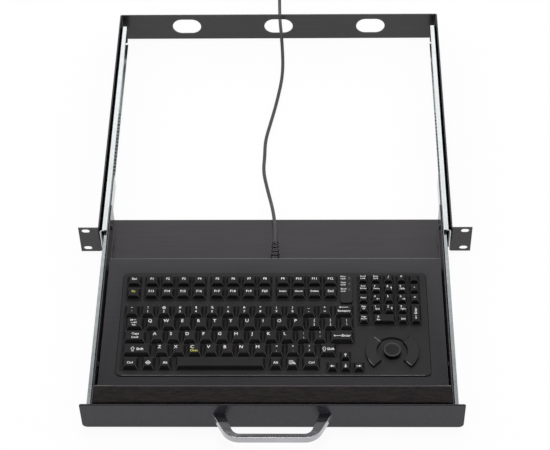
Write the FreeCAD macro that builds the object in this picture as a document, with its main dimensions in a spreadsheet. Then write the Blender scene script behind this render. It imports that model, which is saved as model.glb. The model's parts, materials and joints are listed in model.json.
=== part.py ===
import FreeCAD, Part
import math
import os
import re

import Sketcher

# Keyboard drawer for a nineteen inch rack, one unit high, drawn with the drawer pulled out.
# +X is right, +Y is the back of the rack and +Z is up, all in millimetres.
# Below, y is measured from the front face of the rack ears. Every finished piece is then moved so
# that the origin lies on the ground under the middle of the object.

SIZES = {
    # chassis: one folded sheet with two ears
    "rack_width": 482.6,
    "rack_height": 43.7,
    "ear_reach": 24.3,
    "ear_hole_inset": 8.75,
    "ear_hole_rise": 31.75,
    "ear_slot_length": 10.0,
    "ear_slot_width": 6.8,
    "chassis_depth": 386.0,
    "chassis_sheet": 1.5,
    "fold_radius": 1.0,
    "cable_slot_pitch": 126.5,
    "cable_slot_length": 39.0,
    "cable_slot_width": 25.5,
    "cable_slot_middle": 22.7,
    # ball slides
    "slide_thickness": 10.5,
    "rail_height": 35.0,
    "rail_sheet": 1.0,
    "rail_setback": 1.0,
    "rail_rear_gap": 19.0,
    "outer_rail_reach": 8.8,
    "outer_rail_lip": 1.8,
    "inner_rail_reach": 6.5,
    "ball_diameter": 3.4,
    "ball_clearance": 0.35,
    "ball_seat": 5.6,
    "ball_pitch": 37.8,
    "cage_length": 229.0,
    "cage_sheet": 0.5,
    "cage_reach": 6.2,
    "cage_clearance": 0.4,
    "window_clearance": 0.2,
    "bumper_length": 6.0,
    "bumper_gap": 2.0,
    "bumper_height": 16.0,
    # drawer
    "drawer_out": 260.0,
    "tray_sheet": 1.2,
    "tray_gap": 1.5,
    "tray_wall_top": 36.0,
    "tray_rear": 49.0,
    "tray_corner": 8.0,
    "panel_overhang": 0.5,
    "panel_thickness": 2.0,
    "panel_upper_corner": 2.0,
    "panel_lower_corner": 6.0,
    "handle_reach": 32.2,
    "handle_height": 10.0,
    "handle_bar": 5.8,
    "handle_foot_outside": 67.5,
    "handle_foot_inside": 53.5,
    "handle_bend_outside": 50.0,
    "handle_bend_inside": 43.0,
    "handle_round_outside": 22.0,
    "handle_round_inside": 10.0,
    "handle_edge": 1.5,
    "palm_rest_height": 14.0,
    "palm_rest_depth": 24.5,
    "palm_rest_gap": 3.3,
    "palm_rest_round": 5.0,
    "side_clearance": 0.3,
    # keyboard housing
    "bezel_top": 24.0,
    "bezel_sheet": 1.2,
    "bezel_gap": 2.3,
    "bezel_rear": 31.0,
    "bezel_front_gap": 5.0,
    "bezel_round": 1.6,
    "window_width": 364.6,
    "window_depth": 152.6,
    "window_rear": 55.5,
    "window_corner": 6.0,
    "mat_rise": 1.2,
    "mat_flange": 4.0,
    "mat_flange_thickness": 1.0,
    "board_drop": 4.0,
    "board_thickness": 1.6,
    "standoff_radius": 3.0,
    # keys
    "key_pitch": 19.05,
    "key_gap": 1.45,
    "key_rise": 5.8,
    "key_foot": 2.0,
    "key_inset": 2.35,
    "key_clearance": 0.25,
    "key_margin": 4.3,
    "row_margin": 14.75,
    "function_gap": 7.1,
    "group_gap": 2.4,
    "tab_width": 25.7,
    "row_stagger": 6.6,
    "right_shift_width": 24.0,
    "left_control_width": 23.0,
    "right_control_width": 24.4,
    "space_width": 109.6,
    "small_pitch": 15.3,
    "small_inset": 1.9,
    "numpad_left": 98.35,
    "numpad_rear": 59.75,
    "arrow_left": 60.35,
    "arrow_rear": 173.75,
    "indicator_left": 79.0,
    "indicator_width": 15.0,
    "indicator_rear": 62.0,
    "indicator_depth": 41.0,
    "indicator_rise": 2.0,
    "indicator_corner": 4.0,
    "lens_width": 2.4,
    "lens_depth": 4.0,
    "lens_rise": 0.3,
    "lens_margin": 4.0,
    "lens_pitch": 8.6,
    # pointing disc and its two buttons
    "pointer_x": 138.3,
    "pointer_y": 174.5,
    "puck_radius": 10.5,
    "puck_rise": 5.8,
    "puck_lift": 1.3,
    "puck_dish": 0.7,
    "puck_rim": 1.5,
    "stem_radius": 3.0,
    "stem_rise": 3.4,
    "stem_lift": 0.3,
    "stem_clearance": 0.3,
    "stem_hole": 4.5,
    "button_inside": 18.0,
    "button_outside": 31.0,
    "button_rise": 3.4,
    "button_angle": 90.0,
    "button_slack_angle": 2.0,
    # screws
    "screw_radius": 2.0,
    "screw_head_radius": 3.5,
    "screw_head_height": 1.6,
    "screw_hole_clearance": 0.2,
    "handle_screw_depth": 8.0,
    # cable, strain relief and plug
    "cable_diameter": 4.5,
    "cable_gap": 0.2,
    "boot_length": 34.5,
    "boot_base_radius": 6.0,
    "boot_tip_radius": 3.5,
    "boot_neck_radius": 4.0,
    "boot_flange": 2.0,
    "boot_core_radius": 3.0,
    "boot_rib": 5.2,
    "coil_radius": 26.0,
    "coil_bundle": 14.0,
    "coil_x": 26.0,
    "coil_setback": 119.0,
    "plug_setback": 14.0,
    "plug_length": 32.0,
    "plug_width": 16.0,
    "plug_height": 9.0,
    "plug_round": 2.0,
    "shell_length": 12.0,
    "shell_width": 12.0,
    "shell_height": 4.5,
    # how far a cutter runs past the face it opens
    "cut_margin": 1.0,
}

# where the pieces meet, as expressions of the sizes above
CHASSIS_OUT = "(rack_width / 2 - ear_reach)"
CHASSIS_IN = f"({CHASSIS_OUT} - chassis_sheet)"
TRAY_OUT = f"({CHASSIS_IN} - slide_thickness)"
TRAY_IN = f"({TRAY_OUT} - tray_sheet)"
TRAY_FLOOR = "(tray_gap + tray_sheet)"
PANEL_HALF = f"({CHASSIS_OUT} + panel_overhang)"
PANEL_BACK = "(-drawer_out)"
PANEL_FRONT = "(-drawer_out - panel_thickness)"
FLANGE_REAR = "(-drawer_out + tray_sheet)"
HANDLE_FRONT = f"({PANEL_FRONT} - handle_reach)"
MIDDLE_Y = f"(({HANDLE_FRONT} + chassis_depth) / 2)"
MIDDLE_Z = "(rack_height / 2)"
RAIL_HALF = "(rail_height / 2)"
INNER_HALF = f"({RAIL_HALF} - rail_sheet - ball_diameter - 2 * ball_clearance)"
BALL_Z = f"({RAIL_HALF} - rail_sheet - ball_clearance - ball_diameter / 2)"
OUTER_RAIL_REAR = "(chassis_depth - rail_rear_gap)"
OUTER_RAIL_LENGTH = f"({OUTER_RAIL_REAR} - rail_setback)"
INNER_RAIL_LENGTH = f"({OUTER_RAIL_REAR} - bumper_length - bumper_gap)"
BEZEL_OUT = f"({TRAY_IN} - bezel_gap)"
BEZEL_REAR = "(-bezel_rear)"
BEZEL_FRONT = f"({FLANGE_REAR} + bezel_front_gap)"
BEZEL_UNDER = "(bezel_top - bezel_sheet)"
WINDOW_REAR = "(-window_rear)"
WINDOW_FRONT = "(-window_rear - window_depth)"
MAT_TOP = "(bezel_top + mat_rise)"
MAT_UNDER = f"({BEZEL_UNDER} - mat_flange_thickness)"
MAT_CUT = (f"{MAT_UNDER} - cut_margin", f"{MAT_TOP} + cut_margin")
BOARD_TOP = "(bezel_top - board_drop)"
KEY_BOTTOM = "(bezel_top - key_foot)"
KEYS_LEFT = "(-window_width / 2 + key_margin)"
KEYS_RIGHT = f"({KEYS_LEFT} + tab_width + 13 * key_pitch)"
BOOT_Z = f"(({TRAY_FLOOR} + bezel_top) / 2)"
BOOT_TIP = f"({BEZEL_REAR} + boot_length)"
COIL_Y = "(chassis_depth + coil_setback)"
PLUG_X = "(coil_x + coil_radius + plug_setback)"
PLUG_Y = f"({COIL_Y} + coil_radius)"
PLUG_Z = "(plug_height / 2)"

# the cable on the ground inside the chassis: x, share of the way from strain relief to rear panel, height
GROUND_RUN = [
    (-0.4, 0.048, 13.1), (-1.6, 0.098, 11.6), (-4.2, 0.152, 8.8), (-8.4, 0.211, 5.2), (-12.7, 0.268, 3.0),
    (-17.2, 0.336, 2.5), (-15.8, 0.404, 2.6), (-15.6, 0.477, 2.5), (-8.6, 0.566, 2.6), (-3.2, 0.636, 2.5),
    (1.6, 0.711, 2.6), (5.2, 0.779, 2.7), (6.4, 0.846, 4.4), (5.4, 0.912, 9.6),
]
# over the sill of the middle rear slot and down to the coil: x, distance behind the rear panel, height
REAR_RUN = [
    (3.8, -11.0, 17.2), (2.0, 11.0, 17.1), (1.2, 33.0, 10.4), (0.6, 54.0, 5.2), (0.2, 76.0, 3.4),
    (0.0, 99.0, 6.0),
]
# from the coil to the plug: x and y from the rear of the plug, height
TAIL_RUN = [(-20.5, 0.2, 7.0), (-11.0, 0.6, 5.4), (-0.2, 0.0, 4.5)]

BALLS_PER_RACE = 6
OUTER_SCREW_Y = (60.0, 300.0)
INNER_SCREW_Y = (-190.0, 20.0)
STANDOFF_X = (-170.0, 0.0, 170.0)
STANDOFF_INSET = 8.0
LENS_COUNT = 3
HEAD_FLATS = 6
SHANK_FLATS = 8
ROUND_FLATS = 24
BOOT_RIBS = 5
ARC_SHARE = 0.45
CORD_FLATS = 8

doc = FreeCAD.newDocument("RackKeyboard")
sheet = doc.addObject("Spreadsheet::Sheet", "Sizes")
sub_parts = []


def fill_sheet():
    for row, (name, value) in enumerate(SIZES.items(), start=1):
        sheet.set(f"A{row}", name)
        sheet.set(f"B{row}", str(value))
        sheet.setAlias(f"B{row}", name)
    doc.recompute()


def cells(text):
    """The expression with every size replaced by its cell."""
    return re.sub(r"[a-z_]+", lambda word: f"Sizes.{word[0]}" if word[0] in SIZES else word[0], text)


def number(text):
    """The value of an expression, for shapes that need plain numbers."""
    filled = re.sub(r"[a-z_]+", lambda word: f"({sheet.get(word[0])})", text)
    return FreeCAD.Units.parseQuantity(f"0 + {filled}").Value


def bind(thing, **expressions):
    for name, text in expressions.items():
        thing.setExpression(name, cells(text))


def place(thing, x, y, z):
    for axis, text in zip("xyz", (x, y, z)):
        thing.setExpression(f"Placement.Base.{axis}", cells(text))


def turn(thing, axis, degrees):
    thing.Placement.Rotation = FreeCAD.Rotation(FreeCAD.Vector(*axis), degrees)


def lay_along(thing, axis):
    if axis == "X":
        turn(thing, (0, 1, 0), 90)
    if axis == "Y":
        turn(thing, (1, 0, 0), -90)


def around(middle, half):
    """The pair of expressions at equal distances from a middle."""
    return f"{middle} - ({half})", f"{middle} + ({half})"


def box(name, x, y, z):
    """A box between pairs of expressions."""
    solid = doc.addObject("Part::Box", name)
    sides = [f"({high}) - ({low})" for low, high in (x, y, z)]
    bind(solid, Length=sides[0], Width=sides[1], Height=sides[2])
    place(solid, x[0], y[0], z[0])
    return solid


def rod(name, axis, start, radius, length):
    """A cylinder along X, Y or Z that starts at a point."""
    solid = doc.addObject("Part::Cylinder", name)
    bind(solid, Radius=radius, Height=length)
    place(solid, *start)
    lay_along(solid, axis)
    return solid


def prism(name, axis, start, sides, radius, length):
    """A prism with flats, along X, Y or Z, that starts at a point."""
    solid = doc.addObject("Part::Prism", name)
    solid.Polygon = sides
    bind(solid, Circumradius=radius, Height=length)
    place(solid, *start)
    lay_along(solid, axis)
    return solid


def fuse(name, *solids):
    joined = doc.addObject("Part::MultiFuse", name)
    joined.Shapes = list(solids)
    return joined


def cut(name, base, *tools):
    tool = tools[0]
    if len(tools) > 1:
        tool = doc.addObject("Part::Compound", f"{name}_tools")
        tool.Links = list(tools)
    remainder = doc.addObject("Part::Cut", name)
    remainder.Base = base
    remainder.Tool = tool
    return remainder


def mirror(name, source):
    copy = doc.addObject("Part::Mirroring", name)
    copy.Source = source
    copy.Normal = FreeCAD.Vector(1, 0, 0)
    return copy


def edges_along(shape, direction, spots):
    """Numbers of the straight edges along a direction that pass through the given points."""
    found = []
    for index, edge in enumerate(shape.Edges, start=1):
        if edge.Curve.TypeId != "Part::GeomLine":
            continue
        if abs(edge.Curve.Direction.dot(FreeCAD.Vector(*direction))) < 0.999:
            continue
        if any(edge.distToShape(Part.Vertex(*spot))[0] < 0.01 for spot in spots):
            found.append(index)
    return found


def rounded(name, base, direction, spots, radius):
    """The solid with a fillet on chosen edges."""
    doc.recompute()
    fillet = doc.addObject("Part::Fillet", name)
    fillet.Base = base
    size = number(radius)
    fillet.Edges = [(index, size, size) for index in edges_along(base.Shape, direction, spots)]
    return fillet


def obround(name, x, y, z, length, width):
    """A round-ended slot along X, cut through in Y."""
    half = f"(({length}) - ({width})) / 2"
    radius = f"({width}) / 2"
    depth = f"({y[1]}) - ({y[0]})"
    middle = box(f"{name}_middle", around(x, half), y, around(z, radius))
    ends = [rod(f"{name}_{side}", "Y", (f"{x} {sign} {half}", y[0], z), radius, depth)
            for side, sign in (("left", "-"), ("right", "+"))]
    return fuse(name, middle, *ends)


def outline(body, name, plane, corners, height="0"):
    """A closed sketch whose corners are each held by two dimensions from the origin."""
    sketch = body.newObject("Sketcher::SketchObject", name)
    origin = [feature for feature in body.Origin.OriginFeatures if feature.Role == plane]
    sketch.AttachmentSupport = (origin[0], "")
    sketch.MapMode = "FlatFace"
    sketch.setExpression("AttachmentOffset.Base.z", cells(height))
    points = [FreeCAD.Vector(number(x), number(y), 0) for x, y in corners]
    for start, end in zip(points, points[1:] + points[:1]):
        sketch.addGeometry(Part.LineSegment(start, end))
    for index in range(len(points)):
        following = (index + 1) % len(points)
        sketch.addConstraint(Sketcher.Constraint("Coincident", index, 2, following, 1))
    for index, corner in enumerate(corners):
        for kind, text in zip(("DistanceX", "DistanceY"), corner):
            held = sketch.addConstraint(Sketcher.Constraint(kind, -1, 1, index, 1, number(text)))
            sketch.setExpression(f"Constraints[{held}]", cells(text))
    return sketch


def padded_body(name, plane, corners, height, length, reverse=False):
    """A body padded from one outline."""
    body = doc.addObject("PartDesign::Body", name)
    sketch = outline(body, f"{name}_outline", plane, corners, height)
    pad = body.newObject("PartDesign::Pad", f"{name}_pad")
    pad.Profile = sketch
    pad.Reversed = reverse
    bind(pad, Length=length)
    doc.recompute()
    return body


def fillet_body(body, name, direction, spots, radius):
    """A fillet on chosen edges of a body."""
    base = body.Tip
    names = [f"Edge{index}" for index in edges_along(base.Shape, direction, spots)]
    fillet = body.newObject("PartDesign::Fillet", name)
    fillet.Base = (base, names)
    bind(fillet, Radius=radius)
    doc.recompute()
    return fillet


def sub_part(label, *solids):
    """A finished piece, moved so that the origin is under the middle of the object."""
    piece = doc.addObject("Part::Compound", label)
    piece.Label = label
    piece.Links = list(solids)
    place(piece, "0", f"-{MIDDLE_Y}", "0")
    sub_parts.append(piece)


def both_sides(label, right):
    """The right piece and its mirror image, each a sub-part."""
    sub_part(f"right_{label}", right)
    sub_part(f"left_{label}", mirror(f"left_{label}_mirror", right))


def screw(name, axis, seat, head, shank):
    """A six sided head and an eight sided shank on one seat; both lengths are signed along the axis."""
    reach = {"X": 0, "Y": 1}[axis]
    solids = []
    lumps = ("head", HEAD_FLATS, "screw_head_radius", head), ("shank", SHANK_FLATS, "screw_radius", shank)
    for part, sides, radius, length in lumps:
        start = list(seat)
        if number(length) < 0:
            start[reach] = f"{seat[reach]} + ({length})"
            length = f"-({length})"
        solids.append(prism(f"{name}_{part}", axis, start, sides, radius, length))
    return fuse(name, *solids)


def screw_hole(name, axis, start, length):
    return prism(name, axis, start, SHANK_FLATS, "screw_radius + screw_hole_clearance", length)


def chassis_frame():
    half = "(rack_width / 2)"
    right = [
        (CHASSIS_IN, "chassis_depth - chassis_sheet"), (CHASSIS_IN, "0"), (half, "0"),
        (half, "chassis_sheet"), (CHASSIS_OUT, "chassis_sheet"), (CHASSIS_OUT, "chassis_depth"),
    ]
    left = [(f"-{x}", y) for x, y in reversed(right)]
    body = padded_body("chassis_sheet_body", "XY_Plane", right + left, "0", "rack_height")
    outside = [(CHASSIS_IN, "0"), (CHASSIS_OUT, "chassis_depth")]
    inside = [(CHASSIS_OUT, "chassis_sheet"), (CHASSIS_IN, "chassis_depth - chassis_sheet")]
    folds = ("outer", outside, "fold_radius + chassis_sheet"), ("inner", inside, "fold_radius")
    for name, spots, radius in folds:
        points = [(sign * number(x), number(y), number(MIDDLE_Z)) for x, y in spots for sign in (-1, 1)]
        fillet_body(body, f"chassis_{name}_folds", (0, 0, 1), points, radius)
    slots = []
    for column in (-1, 0, 1):
        slots.append(obround(f"cable_slot_{column + 2}", f"{column} * cable_slot_pitch",
                             ("chassis_depth - 2 * chassis_sheet", "chassis_depth + chassis_sheet"),
                             "cable_slot_middle", "cable_slot_length", "cable_slot_width"))
    for column in (-1, 1):
        for row in (-1, 1):
            slots.append(obround(f"ear_slot_{column + 2}{row + 2}", f"{column} * ({half} - ear_hole_inset)",
                                 ("-chassis_sheet", "2 * chassis_sheet"),
                                 f"{MIDDLE_Z} + {row} * ear_hole_rise / 2",
                                 "ear_slot_length", "ear_slot_width"))
    for side, edge in (("right", CHASSIS_IN), ("left", f"-{CHASSIS_OUT}")):
        for index, y in enumerate(OUTER_SCREW_Y):
            slots.append(screw_hole(f"chassis_hole_{side}_{index}", "X", (edge, str(y), MIDDLE_Z),
                                    "chassis_sheet"))
    sub_part("chassis_frame", cut("chassis_cut", body, *slots))


def rail_corners(upper):
    """A rail section from its upper half, given as distance from the chassis wall and height."""
    lower = [(distance, f"-({height})") for distance, height in reversed(upper)]
    whole = upper + lower
    return [(f"{CHASSIS_IN} - ({distance})", f"{MIDDLE_Z} + ({height})") for distance, height in whole]


def rail_body(name, upper, start, length):
    return padded_body(name, "XZ_Plane", rail_corners(upper), f"-({start})", length, reverse=True)


def outer_rails():
    reach = "outer_rail_reach"
    lip = f"{RAIL_HALF} - outer_rail_lip"
    inside = f"{RAIL_HALF} - rail_sheet"
    upper = [
        ("0", RAIL_HALF), (reach, RAIL_HALF), (reach, lip), (f"{reach} - rail_sheet", lip),
        (f"{reach} - rail_sheet", inside), ("rail_sheet", inside),
    ]
    body = rail_body("outer_rail_body", upper, "rail_setback", OUTER_RAIL_LENGTH)
    edges = [(number(f"{CHASSIS_IN} - {distance}"), number("rail_setback"), number(z))
             for distance in ("0", reach) for z in around(MIDDLE_Z, RAIL_HALF)]
    fillet_body(body, "outer_rail_rolls", (0, 1, 0), edges, "rail_sheet")
    face = f"{CHASSIS_IN} - rail_sheet"
    holes = [screw_hole(f"outer_rail_hole_{index}", "X", (face, str(y), MIDDLE_Z), "rail_sheet")
             for index, y in enumerate(OUTER_SCREW_Y)]
    both_sides("outer_rail", cut("outer_rail_cut", body, *holes))
    screws = [screw(f"outer_rail_screw_{index}", "X", (CHASSIS_OUT, str(y), MIDDLE_Z),
                    "screw_head_height", "-chassis_sheet - rail_sheet")
              for index, y in enumerate(OUTER_SCREW_Y)]
    sub_part("outer_rail_screws", *screws, *(mirror(f"{one.Name}_left", one) for one in screws))
    bumper = box("bumper_right", (f"{CHASSIS_IN} - outer_rail_reach + rail_sheet", face),
                 (f"{OUTER_RAIL_REAR} - bumper_length", OUTER_RAIL_REAR),
                 around(MIDDLE_Z, "bumper_height / 2"))
    sub_part("rail_bumpers", bumper, mirror("bumper_left", bumper))


def inner_rails():
    back = "slide_thickness"
    tip = "slide_thickness - inner_rail_reach"
    inside = f"{INNER_HALF} - rail_sheet"
    upper = [(back, INNER_HALF), (tip, INNER_HALF), (tip, inside), (f"{back} - rail_sheet", inside)]
    front = f"{PANEL_BACK} + side_clearance"
    body = rail_body("inner_rail_body", upper, front, INNER_RAIL_LENGTH)
    edges = [(number(TRAY_OUT), number(front), number(z)) for z in around(MIDDLE_Z, INNER_HALF)]
    fillet_body(body, "inner_rail_rolls", (0, 1, 0), edges, "rail_sheet")
    holes = [screw_hole(f"inner_rail_hole_{index}", "X", (TRAY_OUT, str(y), MIDDLE_Z), "rail_sheet")
             for index, y in enumerate(INNER_SCREW_Y)]
    both_sides("inner_rail", cut("inner_rail_cut", body, *holes))
    screws = [screw(f"inner_rail_screw_{index}", "X", (TRAY_IN, str(y), MIDDLE_Z),
                    "-screw_head_height", "tray_sheet + rail_sheet")
              for index, y in enumerate(INNER_SCREW_Y)]
    sub_part("inner_rail_screws", *screws, *(mirror(f"{one.Name}_left", one) for one in screws))


def ball(name, x, y, z):
    """A ball with eighteen flats, where a cube and its three half turned copies overlap."""
    half = "ball_diameter / 2"
    cubes = []
    for index, axis in enumerate(((0, 0, 0), (1, 0, 0), (0, 1, 0), (0, 0, 1))):
        cube = doc.addObject("Part::Box", f"{name}_cube_{index}")
        bind(cube, Length="ball_diameter", Width="ball_diameter", Height="ball_diameter")
        corner = FreeCAD.Vector(1, 1, 1) * -number(half)
        if any(axis):
            rotation = FreeCAD.Rotation(FreeCAD.Vector(*axis), 45)
            cube.Placement = FreeCAD.Placement(rotation.multVec(corner), rotation)
        else:
            cube.Placement.Base = corner
        cubes.append(cube)
    common = doc.addObject("Part::MultiCommon", name)
    common.Shapes = cubes
    place(common, x, y, z)
    return common


def ball_cages():
    back = "rail_sheet + cage_clearance"
    top = f"{BALL_Z} + cage_sheet / 2"
    under = f"{BALL_Z} - cage_sheet / 2"
    tip = f"{back} + cage_reach"
    upper = [(back, top), (tip, top), (tip, under), (f"{back} + cage_sheet", under)]
    start = "2 * rail_setback"
    body = rail_body("cage_body", upper, start, "cage_length")
    half = "ball_diameter / 2 + window_clearance"
    first = f"{start} + (cage_length - {BALLS_PER_RACE - 1} * ball_pitch) / 2"
    x = f"{CHASSIS_IN} - ball_seat"
    windows = []
    balls = []
    for index in range(BALLS_PER_RACE):
        y = f"{first} + {index} * ball_pitch"
        for race, sign in (("upper", "+"), ("lower", "-")):
            z = f"{MIDDLE_Z} {sign} {BALL_Z}"
            windows.append(box(f"cage_window_{race}_{index}", around(x, half), around(y, half),
                               around(z, "cage_sheet")))
            balls.append(ball(f"ball_{race}_{index}", x, y, z))
    both_sides("ball_cage", cut("cage_cut", body, *windows))
    right = doc.addObject("Part::Compound", "right_balls")
    right.Links = balls
    sub_part("bearing_balls", right, mirror("left_balls", right))


def drawer_tray():
    section = [
        (f"-{TRAY_OUT}", "tray_gap"), (TRAY_OUT, "tray_gap"), (TRAY_OUT, "tray_wall_top"),
        (TRAY_IN, "tray_wall_top"), (TRAY_IN, TRAY_FLOOR), (f"-{TRAY_IN}", TRAY_FLOOR),
        (f"-{TRAY_IN}", "tray_wall_top"), (f"-{TRAY_OUT}", "tray_wall_top"),
    ]
    body = padded_body("tray_body", "XZ_Plane", section, "drawer_out", "drawer_out + tray_rear", reverse=True)
    corners = [(sign * number(TRAY_OUT), number("tray_rear"), number("tray_wall_top")) for sign in (-1, 1)]
    fillet_body(body, "tray_wall_corners", (1, 0, 0), corners, "tray_corner")
    outer = [(sign * number(TRAY_OUT), 0, number("tray_gap")) for sign in (-1, 1)]
    fillet_body(body, "tray_outer_folds", (0, 1, 0), outer, "fold_radius + tray_sheet")
    inner = [(sign * number(TRAY_IN), 0, number(TRAY_FLOOR)) for sign in (-1, 1)]
    fillet_body(body, "tray_inner_folds", (0, 1, 0), inner, "fold_radius")
    flange = box("tray_front_flange", (f"-{TRAY_IN}", TRAY_IN), (PANEL_BACK, FLANGE_REAR),
                 (TRAY_FLOOR, "tray_wall_top"))
    holes = []
    for side, edge in (("right", TRAY_IN), ("left", f"-{TRAY_OUT}")):
        for index, y in enumerate(INNER_SCREW_Y):
            holes.append(screw_hole(f"tray_hole_{side}_{index}", "X", (edge, str(y), MIDDLE_Z), "tray_sheet"))
    for side, x in handle_feet():
        holes.append(screw_hole(f"flange_hole_{side}", "Y", (x, PANEL_BACK, MIDDLE_Z), "tray_sheet"))
    sub_part("drawer_tray", cut("tray_cut", fuse("tray_joined", body, flange), *holes))


def handle_feet():
    """The two screw positions of the handle."""
    x = "(handle_foot_outside + handle_foot_inside) / 2"
    return ("right", x), ("left", f"-{x}")


def front_panel():
    plate = box("panel_plate", (f"-{PANEL_HALF}", PANEL_HALF), (PANEL_FRONT, PANEL_BACK),
                ("0", "rack_height"))
    for level, z in (("upper", number("rack_height")), ("lower", 0)):
        corners = [(sign * number(PANEL_HALF), number(PANEL_BACK), z) for sign in (-1, 1)]
        plate = rounded(f"panel_{level}_rounded", plate, (0, 1, 0), corners, f"panel_{level}_corner")
    holes = [screw_hole(f"panel_hole_{side}", "Y", (x, PANEL_FRONT, MIDDLE_Z), "panel_thickness")
             for side, x in handle_feet()]
    sub_part("front_panel", cut("panel_cut", plate, *holes))


def pull_handle():
    right = [
        ("handle_bend_outside", HANDLE_FRONT), ("handle_foot_outside", PANEL_FRONT),
        ("handle_foot_inside", PANEL_FRONT), ("handle_bend_inside", f"{HANDLE_FRONT} + handle_bar"),
    ]
    left = [(f"-{x}", y) for x, y in reversed(right)]
    bottom, top = around(MIDDLE_Z, "handle_height / 2")
    body = padded_body("handle_body", "XY_Plane", right + left, bottom, "handle_height")
    bends = (("outside", HANDLE_FRONT), ("inside", f"{HANDLE_FRONT} + handle_bar"))
    for side, y in bends:
        spots = [(sign * number(f"handle_bend_{side}"), number(y), number(MIDDLE_Z)) for sign in (-1, 1)]
        fillet_body(body, f"handle_{side}_bends", (0, 0, 1), spots, f"handle_round_{side}")
    base = body.Tip
    rim = body.newObject("PartDesign::Chamfer", "handle_rims")
    level = [number(z) for z in (bottom, top)]
    foot = number(PANEL_FRONT)
    names = []
    for index, edge in enumerate(base.Shape.Edges, start=1):
        ends = [vertex.Point for vertex in edge.Vertexes]
        flat = any(all(abs(point.z - z) < 0.01 for point in ends) for z in level)
        at_foot = all(abs(point.y - foot) < 0.01 for point in ends)
        if flat and not at_foot:
            names.append(f"Edge{index}")
    rim.Base = (base, names)
    bind(rim, Size="handle_edge")
    doc.recompute()
    holes = [screw_hole(f"handle_hole_{side}", "Y", (x, f"{PANEL_FRONT} - handle_screw_depth", MIDDLE_Z),
                        "handle_screw_depth") for side, x in handle_feet()]
    sub_part("pull_handle", cut("handle_cut", body, *holes))
    screws = [screw(f"handle_screw_{side}", "Y", (x, FLANGE_REAR, MIDDLE_Z), "screw_head_height",
                    "-tray_sheet - panel_thickness - handle_screw_depth") for side, x in handle_feet()]
    sub_part("handle_screws", *screws)


def palm_rest():
    front = f"{FLANGE_REAR} + palm_rest_gap"
    rear = f"{front} + palm_rest_depth"
    half = f"({TRAY_IN} - side_clearance)"
    top = "bezel_top + palm_rest_height"
    pad = box("palm_rest_block", (f"-{half}", half), (front, rear), ("bezel_top", top))
    spots = [(0, number(y), number(top)) for y in (front, rear)]
    sub_part("palm_rest", rounded("palm_rest_rounded", pad, (1, 0, 0), spots, "palm_rest_round"))


def keyboard_bezel():
    inner = f"({BEZEL_OUT} - bezel_sheet)"
    shell = box("bezel_block", (f"-{BEZEL_OUT}", BEZEL_OUT), (BEZEL_FRONT, BEZEL_REAR),
                (TRAY_FLOOR, "bezel_top"))
    edges = [(0, number(BEZEL_REAR), number("bezel_top"))]
    shell = rounded("bezel_rear_fold", shell, (1, 0, 0), edges, "bezel_round")
    hollow = box("bezel_hollow", (f"-{inner}", inner),
                 (f"{BEZEL_FRONT} - cut_margin", f"{BEZEL_REAR} - bezel_sheet"),
                 (f"{TRAY_FLOOR} - cut_margin", BEZEL_UNDER))
    window = box("bezel_window", ("-window_width / 2", "window_width / 2"), (WINDOW_FRONT, WINDOW_REAR),
                 (f"{BEZEL_UNDER} - cut_margin", "bezel_top + cut_margin"))
    corners = [(sign * number("window_width") / 2, number(y), number("bezel_top"))
               for sign in (-1, 1) for y in (WINDOW_FRONT, WINDOW_REAR)]
    window = rounded("bezel_window_rounded", window, (0, 0, 1), corners, "window_corner")
    cable_hole = prism("bezel_cable_hole", "Y", ("0", f"{BEZEL_REAR} - bezel_sheet", BOOT_Z), ROUND_FLATS,
                       "boot_neck_radius + screw_hole_clearance", "bezel_sheet")
    sub_part("keyboard_bezel", cut("bezel_cut", shell, hollow, window, cable_hole))


def row_y(row):
    """Middle of a key row, counted from the back; the function rows stand a little apart."""
    gap = " - function_gap" if row > 1 else ""
    return f"({WINDOW_REAR} - row_margin - {row} * key_pitch{gap})"


def run(left, count, width="key_pitch"):
    """Left edge and width of keys side by side."""
    return [(f"{left} + {index} * ({width})", width) for index in range(count)]


def function_row():
    start = f"{KEYS_LEFT} + key_pitch"
    groups = [run(f"{start} + {group + 1} * group_gap + {4 * group} * key_pitch", 4) for group in range(3)]
    return run(KEYS_LEFT, 1) + sum(groups, [])


def main_keys():
    """Each key group with its row and the left edge and width of every key."""
    caps = f"{KEYS_LEFT} + tab_width + row_stagger"
    shift = f"{KEYS_LEFT} + tab_width + 2 * row_stagger"
    backspace = f"{KEYS_LEFT} + 13 * key_pitch"
    enter = f"{caps} + 11 * key_pitch"
    system = f"{KEYS_LEFT} + left_control_width"
    space = f"{system} + 2 * key_pitch"
    right = f"{space} + space_width"
    return [
        ("upper_function_keys", 0, function_row()),
        ("lower_function_keys", 1, function_row()),
        ("number_keys", 2, run(KEYS_LEFT, 13)),
        ("backspace_key", 2, [(backspace, f"{KEYS_RIGHT} - ({backspace})")]),
        ("tab_key", 3, [(KEYS_LEFT, "tab_width")]),
        ("upper_letter_keys", 3, run(f"{KEYS_LEFT} + tab_width", 13)),
        ("caps_lock_key", 4, [(KEYS_LEFT, "tab_width + row_stagger")]),
        ("home_letter_keys", 4, run(caps, 11)),
        ("enter_key", 4, [(enter, f"{KEYS_RIGHT} - ({enter})")]),
        ("left_shift_key", 5, [(KEYS_LEFT, "tab_width + 2 * row_stagger")]),
        ("lower_letter_keys", 5, run(shift, 10)),
        ("right_shift_key", 5, [(f"{shift} + 10 * key_pitch", "right_shift_width")]),
        ("left_modifier_keys", 6, [(KEYS_LEFT, "left_control_width")] + run(system, 2)),
        ("space_bar", 6, [(space, "space_width")]),
        ("right_modifier_keys", 6, run(right, 2) + [(f"{right} + 2 * key_pitch", "right_control_width")]),
    ]


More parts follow.
